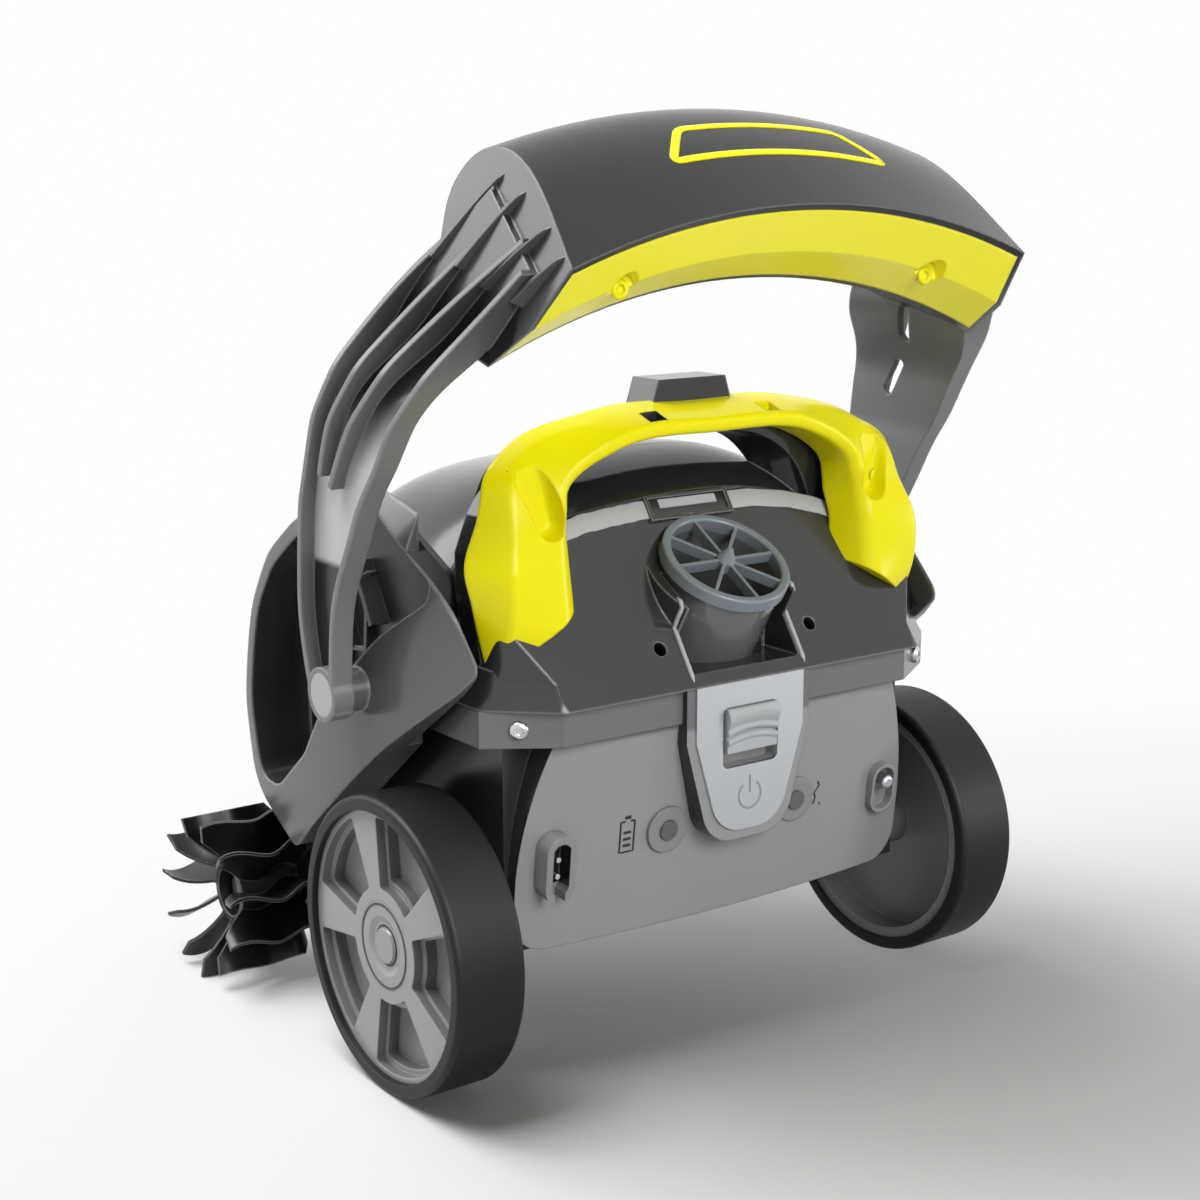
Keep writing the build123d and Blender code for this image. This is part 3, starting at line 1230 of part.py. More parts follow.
with BuildPart() as power_slider:
    with BuildSketch(rear(PLATE_Y + SLIDER_DEPTH)):
        with Locations((0, SLIDER_Z)):
            RectangleRounded(SLIDER_W, SLIDER_H, WALL)
    extrude(amount=SLIDER_DEPTH + PLATE + SLIDER_PROUD)
    fillet(power_slider.faces().sort_by(Axis.Y)[0].edges(), 1.0)
pieces["power_slider"] = power_slider

with BuildPart() as status_rings:
    for x in (-LIGHT_X, LIGHT_X):
        with BuildSketch(panel_plane(x, LIGHT_Z).offset(-SEAT)):
            Circle(LIGHT_RING_R)
            Circle(LIGHT_LENS_R, mode=Mode.SUBTRACT)
        extrude(amount=SEAT + LIGHT_PROUD)
pieces["status_rings"] = status_rings

with BuildPart() as status_lenses:
    for x in (-LIGHT_X, LIGHT_X):
        with BuildSketch(panel_plane(x, LIGHT_Z).offset(-SEAT)):
            Circle(LIGHT_LENS_R)
        extrude(amount=SEAT + 2 * LIGHT_PROUD)
pieces["status_lenses"] = status_lenses

inlet_plane = panel_plane(-SOCKET_X, SOCKET_Z)
with BuildPart() as charge_inlet:
    with BuildSketch(inlet_plane.offset(-SEAT)):
        RectangleRounded(SOCKET_W, INLET_H, SOCKET_W / 2 - GAP)
    extrude(amount=SEAT + SOCKET_PROUD)
    with BuildSketch(inlet_plane):
        RectangleRounded(SOCKET_W - 2 * SOCKET_WALL, INLET_H - 2 * SOCKET_WALL,
                         SOCKET_W / 2 - SOCKET_WALL - GAP)
        with Locations((0, -INLET_H / 2)):
            Rectangle(SOCKET_W - 3 * SOCKET_WALL, INLET_H / 2)
    extrude(amount=SOCKET_PROUD, mode=Mode.SUBTRACT)
    with BuildSketch(inlet_plane):
        with GridLocations(0, PIN_PITCH, 1, 2):
            Circle(PIN_R)
    extrude(amount=-SEAT / 2, mode=Mode.SUBTRACT)
pieces["charge_inlet"] = charge_inlet

with BuildPart() as charge_pins:
    with BuildSketch(inlet_plane.offset(-SEAT / 2)):
        with GridLocations(0, PIN_PITCH, 1, 2):
            Circle(PIN_R)
    extrude(amount=SEAT / 2 + 0.7 * SOCKET_PROUD)
pieces["charge_pins"] = charge_pins

socket_plane = panel_plane(SOCKET_X, SOCKET_Z)
with BuildPart() as sensor_socket:
    with BuildSketch(socket_plane.offset(-SEAT)):
        RectangleRounded(SOCKET_W, SOCKET_H, SOCKET_W / 2 - GAP)
    extrude(amount=SEAT + 0.6 * SOCKET_PROUD)
    with BuildSketch(socket_plane):
        RectangleRounded(SOCKET_W - SOCKET_WALL, SOCKET_H - SOCKET_WALL, (SOCKET_W - SOCKET_WALL) / 2 - GAP)
    extrude(amount=SOCKET_PROUD, mode=Mode.SUBTRACT)
pieces["sensor_socket"] = sensor_socket

with BuildPart() as sensor_stud:
    with BuildSketch(socket_plane):
        with Locations((0, SOCKET_H / 6)):
            Circle(STUD_R)
    extrude(amount=SOCKET_PROUD)
    fillet(sensor_stud.faces().sort_by(Axis.Y)[0].edges(), STUD_R / 2)
pieces["sensor_stud"] = sensor_stud

with BuildPart() as seam_screws:
    for x in (-1, 1):
        with BuildSketch(corner_plane(x)):
            Circle(SCREW_HEAD_R)
        extrude(amount=SCREW_HEAD)
        with BuildSketch(corner_plane(x)):
            Circle(SCREW_R)
        extrude(amount=-SCREW_LENGTH)
pieces["seam_screws"] = seam_screws

# Inside the housing
FLOOR_Z = BELLY_Z + WALL
with BuildPart() as battery_pack:
    with BuildSketch(plan(FLOOR_Z)):
        with Locations((0, BATTERY_Y)):
            RectangleRounded(BATTERY[0], BATTERY[1], 2 * WALL)
    extrude(amount=BATTERY[2])
pieces["battery_pack"] = battery_pack

with BuildPart() as control_board:
    with BuildSketch(plan(FLOOR_Z + BATTERY[2])):
        with Locations((0, BATTERY_Y)):
            Rectangle(BOARD[0], BOARD[1])
    extrude(amount=BOARD[2])
pieces["control_board"] = control_board

BASKET_LENGTH = BASKET_FRONT_Y - BASKET_REAR_Y
BASKET_MID_Y = (BASKET_FRONT_Y + BASKET_REAR_Y) / 2
BASKET_MID_Z = FLOOR_Z + BASKET_H / 2
with BuildPart() as filter_basket:
    with BuildSketch(plan(FLOOR_Z)):
        with Locations((0, BASKET_MID_Y)):
            Rectangle(2 * BASKET_HALF, BASKET_LENGTH)
    extrude(amount=BASKET_H)
    with BuildSketch(plan(FLOOR_Z + BASKET_WALL)):
        with Locations((0, BASKET_MID_Y)):
            Rectangle(2 * (BASKET_HALF - BASKET_WALL), BASKET_LENGTH - 2 * BASKET_WALL)
    extrude(amount=BASKET_H, mode=Mode.SUBTRACT)
    with BuildSketch(side(0)):
        with Locations((BASKET_MID_Y, BASKET_MID_Z)):
            with GridLocations(BASKET_LENGTH / 3.2, 0, 3, 1):
                Rectangle(BASKET_LENGTH / 4, BASKET_H / 2)
    extrude(amount=BASKET_HALF, both=True, mode=Mode.SUBTRACT)
    with BuildSketch(plan(FLOOR_Z)):
        with Locations((0, (SLOT_REAR_Y + SLOT_FRONT_Y) / 2)):
            Rectangle(2 * SLOT_HALF, SLOT_FRONT_Y - SLOT_REAR_Y)
    extrude(amount=BASKET_WALL, mode=Mode.SUBTRACT)
pieces["filter_basket"] = filter_basket

with BuildPart() as intake_flap:
    with BuildSketch(plan(FLAP_Z)):
        with Locations((0, (SLOT_REAR_Y - FLAP_LAP + FLAP_PIN_Y) / 2)):
            Rectangle(2 * (SLOT_HALF + FLAP_LAP), FLAP_PIN_Y - SLOT_REAR_Y + FLAP_LAP)
    extrude(amount=FLAP)
    with BuildSketch(plan(FLAP_Z)):
        for x in (-1, 1):
            with Locations((x * (FLAP_EYE_X + SLOT_HALF), FLAP_PIN_Y)):
                Rectangle(2 * SLOT_HALF, 4 * FLAP_EYE_R)
    extrude(amount=FLAP, mode=Mode.SUBTRACT)
    with BuildSketch(side(0)):
        with Locations((FLAP_PIN_Y, FLAP_PIN_Z)):
            Circle(FLAP_EYE_R)
    extrude(amount=FLAP_EYE_X, both=True)
    with BuildSketch(side(0)):
        with Locations((FLAP_PIN_Y, FLAP_PIN_Z)):
            Circle(FLAP_PIN_R + RUN_FIT)
    extrude(amount=FLAP_EYE_X, both=True, mode=Mode.SUBTRACT)
pieces["intake_flap"] = intake_flap

with BuildPart() as flap_pin:
    with BuildSketch(side(0)):
        with Locations((FLAP_PIN_Y, FLAP_PIN_Z)):
            Circle(FLAP_PIN_R)
    extrude(amount=FLAP_EYE_X + GAP + 2 * WALL, both=True)
pieces["flap_pin"] = flap_pin

os.makedirs("parts", exist_ok=True)
for name, piece in right_pieces.items():
    with BuildPart() as twin:
        mirror(piece.part, about=Plane.YZ)
    pieces[f"right_{name}"] = piece
    pieces[f"left_{name}"] = twin
for name, piece in pieces.items():
    piece.part.label = name
    export_step(piece.part, f"parts/{name}.step")
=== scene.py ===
import json
from collections import namedtuple
from math import cos, pi, radians, sin, sqrt

import bmesh
import bpy
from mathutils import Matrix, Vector
from mathutils.bvhtree import BVHTree


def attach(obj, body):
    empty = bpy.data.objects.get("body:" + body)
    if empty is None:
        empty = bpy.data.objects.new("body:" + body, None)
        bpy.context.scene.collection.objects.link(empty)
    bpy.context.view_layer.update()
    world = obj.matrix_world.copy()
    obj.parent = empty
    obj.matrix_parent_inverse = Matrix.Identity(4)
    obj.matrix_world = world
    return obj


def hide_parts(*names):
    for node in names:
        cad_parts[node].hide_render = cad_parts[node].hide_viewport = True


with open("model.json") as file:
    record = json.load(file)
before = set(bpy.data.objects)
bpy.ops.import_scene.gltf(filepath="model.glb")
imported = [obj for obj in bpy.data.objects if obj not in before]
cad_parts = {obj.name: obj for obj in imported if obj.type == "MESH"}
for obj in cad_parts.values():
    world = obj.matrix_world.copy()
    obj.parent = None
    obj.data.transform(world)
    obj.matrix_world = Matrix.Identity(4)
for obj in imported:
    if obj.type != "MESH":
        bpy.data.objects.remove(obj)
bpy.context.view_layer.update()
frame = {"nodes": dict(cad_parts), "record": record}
nodes = frame["nodes"]
AXLE_Y = -0.0584


def at(x, y, z):
    """A point given in millimetres, with y counted from the wheel axle."""
    return Vector((x / 1000, AXLE_Y + y / 1000, z / 1000))


# Camera, solved from the photograph: place in mm, angles in degrees
CAMERA_PLACE = (-548.1, -703.0, 389.9)
CAMERA_DOWN, CAMERA_TURN = 12.33, -35.75
CAMERA_LENS, CAMERA_SENSOR = 60.35, 36

camera_data = bpy.data.cameras.new("camera")
camera_data.lens = CAMERA_LENS
camera_data.sensor_width = CAMERA_SENSOR
camera_data.clip_start = 0.02
camera = bpy.data.objects.new("camera", camera_data)
camera.location = at(*CAMERA_PLACE)
camera.rotation_euler = (radians(90 - CAMERA_DOWN), 0, radians(CAMERA_TURN))
bpy.context.collection.objects.link(camera)
scene = bpy.context.scene
scene.camera = camera
scene.view_settings.view_transform = "Standard"


# Materials
def new_material(name):
    material = bpy.data.materials.new(name)
    material.use_nodes = True
    tree = material.node_tree
    shader = tree.nodes["Principled BSDF"]
    return material, tree, shader


def node(tree, kind, **inputs):
    made = tree.nodes.new(kind)
    for key, value in inputs.items():
        made.inputs[key.replace("_", " ")].default_value = value
    return made


def maths(tree, operation, first, second=None):
    """A number worked out from sockets or plain values."""
    made = tree.nodes.new("ShaderNodeMath")
    made.operation = operation
    for slot, value in enumerate((first, second)):
        if value is None:
            continue
        if isinstance(value, (int, float)):
            made.inputs[slot].default_value = value
        else:
            tree.links.new(value, made.inputs[slot])
    return made.outputs[0]


def ramp(tree, value, low, high):
    """Smooth step from 0 at low to 1 at high."""
    made = tree.nodes.new("ShaderNodeMapRange")
    made.interpolation_type = "SMOOTHSTEP"
    made.inputs["From Min"].default_value = low
    made.inputs["From Max"].default_value = high
    tree.links.new(value, made.inputs["Value"])
    return made.outputs["Result"]


def blend(tree, share, first, second):
    """Colour between two colours, each a socket or plain red, green and blue."""
    made = tree.nodes.new("ShaderNodeMix")
    made.data_type = "RGBA"
    tree.links.new(share, made.inputs[0])
    for slot, value in ((6, first), (7, second)):
        if isinstance(value, tuple):
            made.inputs[slot].default_value = (*value, 1)
        else:
            tree.links.new(value, made.inputs[slot])
    return made.outputs[2]


EDGE_HIGHLIGHT_GREY = 0.55           # grey that edges are painted towards, a painted highlight along rounded edges
CLOUD_SCALE = 28.0         # mottling, in cycles per metre
COAT_ROUGH = 0.06


def moulded(name, color, rough, grain=0.00035, relief=0.08, vary=0.06, coat=0.0, edge=0.0006, rim=0.0, shine=0.5,
            regions=None):
    """Injection-moulded plastic: faint mottling, fine grain, slightly uneven gloss, and a painted highlight that makes
    edges paler.
    """
    material, tree, shader = new_material(name)
    place = tree.nodes.new("ShaderNodeTexCoord")
    cloud = node(tree, "ShaderNodeTexNoise", Scale=CLOUD_SCALE, Detail=3.0)
    fine = node(tree, "ShaderNodeTexNoise", Scale=1 / grain / 4, Detail=2.0)
    for source in (cloud, fine):
        tree.links.new(place.outputs["Object"], source.inputs["Vector"])
    light = tuple(min(1, c * (1 + vary)) for c in color)
    tint = blend(tree, cloud.outputs["Fac"], tuple(c * (1 - vary) for c in color), light)
    if regions:
        tint = regions(tree, place, tint)
    bevel = node(tree, "ShaderNodeBevel", Radius=edge)
    bevel.samples = 4
    # rim sets how far the edges are painted paler, a painted highlight
    if rim:
        flat = tree.nodes.new("ShaderNodeNewGeometry")
        near = tree.nodes.new("ShaderNodeVectorMath")
        near.operation = "DOT_PRODUCT"
        tree.links.new(bevel.outputs["Normal"], near.inputs[0])
        tree.links.new(flat.outputs["Normal"], near.inputs[1])
        edge_highlight = ramp(tree, maths(tree, "SUBTRACT", 1.0, near.outputs["Value"]), 0.03, 0.30)
        tint = blend(tree, edge_highlight, tint, tuple(c + (EDGE_HIGHLIGHT_GREY - c) * rim for c in color))
    tree.links.new(tint, shader.inputs["Base Color"])
    gloss = node(tree, "ShaderNodeMapRange")
    gloss.inputs["To Min"].default_value = rough * (1 - 2 * relief)
    gloss.inputs["To Max"].default_value = rough * (1 + 2 * relief)
    tree.links.new(fine.outputs["Fac"], gloss.inputs["Value"])
    tree.links.new(gloss.outputs["Result"], shader.inputs["Roughness"])
    bump = node(tree, "ShaderNodeBump", Strength=relief, Distance=0.0002)
    tree.links.new(fine.outputs["Fac"], bump.inputs["Height"])
    tree.links.new(bevel.outputs["Normal"], bump.inputs["Normal"])
    tree.links.new(bump.outputs["Normal"], shader.inputs["Normal"])
    shader.inputs["Specular IOR Level"].default_value = shine
    shader.inputs["Coat Weight"].default_value = coat
    shader.inputs["Coat Roughness"].default_value = COAT_ROUGH
    return material


def metal(name, color, rough, scale=900.0):
    """Bright metal with a fine uneven polish."""
    material, tree, shader = new_material(name)
    place = tree.nodes.new("ShaderNodeTexCoord")
    fine = node(tree, "ShaderNodeTexNoise", Scale=scale, Detail=2.0)
    tree.links.new(place.outputs["Object"], fine.inputs["Vector"])
    gloss = node(tree, "ShaderNodeMapRange")
    gloss.inputs["To Min"].default_value = rough * 0.8
    gloss.inputs["To Max"].default_value = rough * 1.3
    tree.links.new(fine.outputs["Fac"], gloss.inputs["Value"])
    tree.links.new(gloss.outputs["Result"], shader.inputs["Roughness"])
    bevel = node(tree, "ShaderNodeBevel", Radius=0.0003)
    bevel.samples = 4
    tree.links.new(bevel.outputs["Normal"], shader.inputs["Normal"])
    shader.inputs["Base Color"].default_value = (*color, 1)
    shader.inputs["Metallic"].default_value = 1.0
    return material


Spot = namedtuple("Spot", "across along height outward lean")


def coordinates(tree, place):
    """Object-space distance from the middle plane, depth, height, outward lean and normal of the surface."""
    spot = tree.nodes.new("ShaderNodeSeparateXYZ")
    tree.links.new(place.outputs["Object"], spot.inputs[0])
    lean = tree.nodes.new("ShaderNodeSeparateXYZ")
    tree.links.new(place.outputs["Normal"], lean.inputs[0])
    across = maths(tree, "ABSOLUTE", spot.outputs[0])
    outward = maths(tree, "MULTIPLY", lean.outputs[0], maths(tree, "SIGN", spot.outputs[0]))
    return Spot(across, spot.outputs[1], spot.outputs[2], outward, lean.outputs)


# Height and half width of the ribs on the float's arms, for telling a channel floor from a rib
RIB_LINE = [(0.140, 0.1605), (0.250, 0.1605), (0.286, 0.1585), (0.310, 0.152), (0.366, 0.118), (0.394, 0.110)]
RIB_BASE, RIB_SPAN = 0.1, 0.07


# Middles of the side frames' eyes (depth, height) and of the charge inlet (half width, height), in metres
EYE_MIDDLE = (0.038, 0.178)
INLET_MIDDLE = (0.0938, 0.0996)
INLET_HIGH = 0.0089


# Painted light and shade on the float's one plastic: greys of its regions
SIDE_PAINTED_LIGHT = (0.060, 0.061, 0.063)
ARM_LOW_PAINTED_LIGHT, ARM_TOP_PAINTED_LIGHT = (0.150, 0.152, 0.155), (0.070, 0.071, 0.073)
ARM_INSIDE_PAINTED_LIGHT = (0.210, 0.213, 0.217)
CHANNEL_PAINTED_SHADE, CHANNEL_PAINTED_LIGHT = (0.016, 0.016, 0.017), (0.50, 0.51, 0.52)


def float_regions(tree, place, tint):
    """Painted light and shade on one plastic: dark top, sides and arms painted lighter as if lit, painted shade in the
    channels between the ribs of the arms and painted light on their lower floors.
    """
    here = coordinates(tree, place)
    share = tree.nodes.new("ShaderNodeMapRange")
    share.inputs["From Min"].default_value = RIB_LINE[0][0]
    share.inputs["From Max"].default_value = RIB_LINE[-1][0]
    tree.links.new(here.height, share.inputs["Value"])
    line = tree.nodes.new("ShaderNodeValToRGB")
    span = RIB_LINE[-1][0] - RIB_LINE[0][0]
    while len(line.color_ramp.elements) < len(RIB_LINE):
        line.color_ramp.elements.new(0.5)
    for element, (z, x) in zip(line.color_ramp.elements, RIB_LINE):
        element.position = (z - RIB_LINE[0][0]) / span
        level = (x - RIB_BASE) / RIB_SPAN
        element.color = (level, level, level, 1)
    tree.links.new(share.outputs["Result"], line.inputs["Fac"])
    rib = maths(tree, "ADD", maths(tree, "MULTIPLY", line.outputs["Color"], RIB_SPAN), RIB_BASE)
    sunk = maths(tree, "SUBTRACT", rib, here.across)
    faces_out = ramp(tree, here.outward, 0.25, 0.6)
    arm = ramp(tree, here.across, 0.118, 0.126)
    # sides, arms and the arms' inner faces painted lighter, as painted light; arms lighter low and darker high
    sides = blend(tree, faces_out, tint, SIDE_PAINTED_LIGHT)
    arm_tint = blend(tree, ramp(tree, here.height, 0.300, 0.335), ARM_LOW_PAINTED_LIGHT, ARM_TOP_PAINTED_LIGHT)
    arm_tint = blend(tree, ramp(tree, here.outward, -0.2, -0.6), arm_tint, ARM_INSIDE_PAINTED_LIGHT)
    body = blend(tree, arm, sides, arm_tint)
    # painted shade in the channels between the ribs, painted light on their lower floors
    inside = maths(tree, "MULTIPLY", ramp(tree, sunk, 0.0035, 0.0055), ramp(tree, here.along, -0.124, -0.120))
    inside = maths(tree, "MULTIPLY", inside, faces_out)
    channel = maths(tree, "MULTIPLY", inside, ramp(tree, here.height, 0.352, 0.332))
    pale_floor = maths(tree, "MULTIPLY", ramp(tree, here.height, 0.222, 0.226), ramp(tree, here.height, 0.300, 0.262))
    floor_tint = blend(tree, pale_floor, CHANNEL_PAINTED_SHADE, CHANNEL_PAINTED_LIGHT)
    return blend(tree, channel, body, floor_tint)


HOUSING_PAINTED_SHADE = (0.020, 0.0205, 0.0215)
POCKET_PAINTED_REFLECTION = (0.130, 0.132, 0.135)
EYE_PAINTED_SHADE = (0.024, 0.0245, 0.0255)
INLET_PAINTED_SHADE = (0.008, 0.0082, 0.0086)
FLANGE_SHARE = 0.50        # how far the flange's painted shade goes towards the dark grey
INLET_HALF = 0.0044        # half width of the inlet's hollow


def housing_regions(tree, place, tint):
    """Painted shade on the darker sides, underside, wheel arches and top flange."""
    here = coordinates(tree, place)
    # painted shade where shade falls: sides beside the wheels, underside, wheel arches and the flange under the deck
    dark = maths(tree, "MAXIMUM", ramp(tree, here.outward, 0.55, 0.80), ramp(tree, here.lean[2], -0.5, -0.8))
    flange = maths(tree, "MULTIPLY", ramp(tree, here.height, 0.150, 0.153), FLANGE_SHARE)
    arch = maths(tree, "MULTIPLY", ramp(tree, here.along, -0.0875, -0.0870), ramp(tree, here.lean[1], -0.3, -0.6))
    dark = maths(tree, "MAXIMUM", dark, maths(tree, "MULTIPLY", arch, ramp(tree, here.height, 0.153, 0.150)))
    return blend(tree, maths(tree, "MAXIMUM", dark, flange), tint, HOUSING_PAINTED_SHADE)


def frame_regions(tree, place, tint):
    """Painted shade on the walls inside the eye of a side frame."""
    here = coordinates(tree, place)
    back = maths(tree, "SUBTRACT", EYE_MIDDLE[0], here.along)
    up = maths(tree, "SUBTRACT", EYE_MIDDLE[1], here.height)
    square = maths(tree, "ADD", maths(tree, "MULTIPLY", back, back), maths(tree, "MULTIPLY", up, up))
    reach = maths(tree, "SQRT", square)
    inward = maths(tree, "ADD", maths(tree, "MULTIPLY", back, here.lean[1]), maths(tree, "MULTIPLY", up, here.lean[2]))
    wall = ramp(tree, maths(tree, "DIVIDE", inward, reach), 0.25, 0.55)
    return blend(tree, wall, tint, EYE_PAINTED_SHADE)


def inlet_regions(tree, place, tint):
    """Painted shade: black hollow of the charge inlet."""
    here = coordinates(tree, place)
    wide = maths(tree, "ABSOLUTE", maths(tree, "SUBTRACT", here.across, INLET_MIDDLE[0]))
    high = maths(tree, "ABSOLUTE", maths(tree, "SUBTRACT", here.height, INLET_MIDDLE[1]))
    within_width = ramp(tree, wide, INLET_HALF + 0.00005, INLET_HALF - 0.00005)
    within_height = ramp(tree, high, INLET_HIGH + 0.0001, INLET_HIGH)
    hollow = maths(tree, "MULTIPLY", within_width, within_height)
    return blend(tree, hollow, tint, INLET_PAINTED_SHADE)


def hub_regions(tree, place, tint):
    """Darker walls of the pockets between the spokes, a painted dark reflection."""
    here = coordinates(tree, place)
    wall = ramp(tree, maths(tree, "ABSOLUTE", here.outward), 0.62, 0.30)
    return blend(tree, wall, tint, POCKET_PAINTED_REFLECTION)


# The handle and the float cap are one yellow plastic: the cap's is painted lighter and the handle's darker, as painted
# light and shade
yellow = moulded("lemon_gloss", (0.76, 0.69, 0.002), 0.24, vary=0.02, relief=0.015, edge=0.0016, shine=0.22)
cap_yellow_painted_light = moulded("lemon_cap_gloss", (0.93, 0.86, 0.030), 0.24, vary=0.02, relief=0.015, edge=0.0016, shine=0.30)
light_grey = moulded("light_grey_satin", (0.36, 0.37, 0.38), 0.36, vary=0.03, relief=0.02)
hub_grey = moulded("hub_grey_satin", (0.285, 0.29, 0.295), 0.26, vary=0.03, relief=0.01, edge=0.0010, rim=0.25,
                   regions=hub_regions)
body_grey = moulded("body_grey_satin", (0.245, 0.247, 0.25), 0.26, vary=0.03, relief=0.008, edge=0.001,
                    regions=housing_regions)
trim_grey = moulded("trim_grey_satin", (0.215, 0.217, 0.22), 0.26, vary=0.03, relief=0.008, edge=0.0010, rim=0.25)
frame_grey = moulded("frame_grey_gloss", (0.085, 0.086, 0.088), 0.20, vary=0.03, relief=0.008, coat=0.1, edge=0.0022,
                     rim=0.55, regions=frame_regions)
inlet_grey = moulded("inlet_grey_satin", (0.215, 0.217, 0.22), 0.26, vary=0.03, relief=0.008, rim=0.25,
                     regions=inlet_regions)
dome_grey = moulded("dome_grey_gloss", (0.014, 0.0145, 0.0155), 0.12, vary=0.03, coat=0.1, relief=0.005, edge=0.0012,
                    rim=0.25)
float_grey = moulded("float_grey_gloss", (0.012, 0.0122, 0.0126), 0.22, vary=0.04, relief=0.008,
                     edge=0.0014, regions=float_regions, rim=0.45, shine=0.4)
dark_gloss = moulded("deck_dark_gloss", (0.028, 0.0285, 0.0295), 0.16, vary=0.04, coat=0.1, relief=0.008, edge=0.0016,
                     rim=0.55)
tube_dark = moulded("tube_polished", (0.12, 0.122, 0.126), 0.10, vary=0.02, coat=0.8, relief=0.005)
dark_matte = moulded("dark_matte", (0.014, 0.0145, 0.0155), 0.36, rim=0.15)
ring_grey = moulded("ring_blue_grey", (0.190, 0.215, 0.240), 0.26, vary=0.03, relief=0.015, rim=0.35)
tyre_black = moulded("tyre_black", (0.006, 0.006, 0.0065), 0.45, grain=0.0006, relief=0.08, edge=0.0012, rim=0.05,
                     shine=0.3)
fin_black = moulded("fin_rubber", (0.008, 0.008, 0.0085), 0.32, grain=0.0006, relief=0.06, edge=0.0010, rim=0.55,
                    shine=0.4)
lens_smoke = moulded("lens_smoke", (0.085, 0.088, 0.092), 0.10, coat=0.8, relief=0.0)
arm_grey = moulded("arm_grey_gloss", (0.075, 0.076, 0.078), 0.22, vary=0.03, relief=0.008, rim=0.3, shine=0.4)
board_green = moulded("board_green", (0.03, 0.17, 0.06), 0.35)
motor_paint = moulded("motor_paint", (0.08, 0.08, 0.085), 0.35)
ink_black = moulded("sign_black", (0.012, 0.012, 0.013), 0.45)
sign_grey = moulded("sign_grey", (0.25, 0.26, 0.28), 0.40)
silver = metal("silver_satin", (0.60, 0.615, 0.635), 0.36)
steel = metal("screw_steel", (0.62, 0.62, 0.62), 0.20)
brass = metal("pin_plating", (0.86, 0.84, 0.80), 0.22)

SLOT_LOOKS = {
    "grey_body": body_grey, "dark_gloss": dark_gloss, "ring_grey": ring_grey, "dark_matte": dark_matte,
    "dome_grey": dome_grey, "yellow": yellow, "float_grey": float_grey, "light_grey": light_grey,
    "silver": silver, "steel": steel, "motor_can": motor_paint, "lens": lens_smoke, "brass_pins": brass,
    "board": board_green, "tyre": tyre_black, "fin_rubber": fin_black,
}
NODE_LOOKS = {
    "jet_tube": tube_dark, "status_rings": trim_grey, "charge_inlet": inlet_grey, "sensor_socket": trim_grey,
    "left_side_frame": frame_grey, "right_side_frame": frame_grey, "left_hub": hub_grey, "right_hub": hub_grey,
    "left_hub_cap": hub_grey, "right_hub_cap": hub_grey, "float_cap": cap_yellow_painted_light,
}
for part in frame["record"]["subparts"]:
    obj = nodes[part["node"]]
    obj.data.materials.clear()
    obj.data.materials.append(NODE_LOOKS.get(part["node"], SLOT_LOOKS[part["material_slot"]]))


# Pieces
def piece(name, verts, faces, look, body, sharp=40):
    mesh = bpy.data.meshes.new(name)
    mesh.from_pydata([tuple(v) for v in verts], [], faces)
    form = bmesh.new()
    form.from_mesh(mesh)
    bmesh.ops.remove_doubles(form, verts=form.verts, dist=1e-7)
    bmesh.ops.recalc_face_normals(form, faces=form.faces)
    form.to_mesh(mesh)
    form.free()
    mesh.polygons.foreach_set("use_smooth", [True] * len(mesh.polygons))
    mesh.set_sharp_from_angle(angle=radians(sharp))
    mesh.materials.append(look)
    made = bpy.data.objects.new(name, mesh)
    bpy.context.collection.objects.link(made)
    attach(made, body)
    return made


def basis(axis):
    """Two directions square to an axis."""
    side = axis.orthogonal().normalized()
    return side, axis.cross(side).normalized()


def loop_faces(rings, count, closed=True):
    """Faces between neighbouring rings of equal count."""
    faces = []
    for ring in range(rings - 1):
        for step in range(count if closed else count - 1):
            after = (step + 1) % count
            faces.append((ring * count + step, ring * count + after,
                          (ring + 1) * count + after, (ring + 1) * count + step))
    return faces


def screw(place, axis, head_r, head_h, shank_r, shank):
    """Domed head with a six-lobed recess, on its shank: points and faces."""
    steps = 60
    side, up = basis(axis)
    verts = []

    def ring(radius, height):
        for step in range(steps):
            turn = 2 * pi * step / steps
            reach = radius(turn) if callable(radius) else radius
            verts.append(place + axis * height + (side * cos(turn) + up * sin(turn)) * reach)

    def lobe(scale):
        return lambda turn: head_r * 0.44 * scale * (1 + 0.16 * cos(6 * turn))

    dome = [0.50, 0.62, 0.74, 0.85, 0.94, 0.99, 1.0]
    rings = [(lobe(0.02), head_h * 0.35), (lobe(0.9), head_h * 0.38), (lobe(1.0), head_h * 0.93)]
    rings += [(head_r * share, head_h * (0.32 + 0.68 * sqrt(max(0, 1 - share ** 2.6)))) for share in dome]
    rings += [(head_r, 0.0), (shank_r, 0.0), (shank_r, -shank), (shank_r * 0.02, -shank)]
    for radius, height in rings:
        ring(radius, height)
    faces = loop_faces(len(rings), steps)
    faces.append(tuple(range(steps)))
    last = (len(rings) - 1) * steps
    faces.append(tuple(range(last + steps - 1, last - 1, -1)))
    return verts, faces


HEAD_R, SHANK_R, SHANK_LONG = 0.0041, 0.0020, 0.0098      # M4 pan head
HEAD_HIGH, SUNK_HEAD_HIGH = 0.0030, 0.0012


def screws(name, node_name, body, places, axes, look, high):
    """Screws in place of a node that stands for them all."""
    verts, faces = [], []
    for place, axis in zip(places, axes):
        more, sides = screw(place, axis, HEAD_R, high, SHANK_R, SHANK_LONG)
        faces += [tuple(index + len(verts) for index in side) for side in sides]
        verts += more
    made = piece(name, verts, faces, look, body)
    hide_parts(node_name)


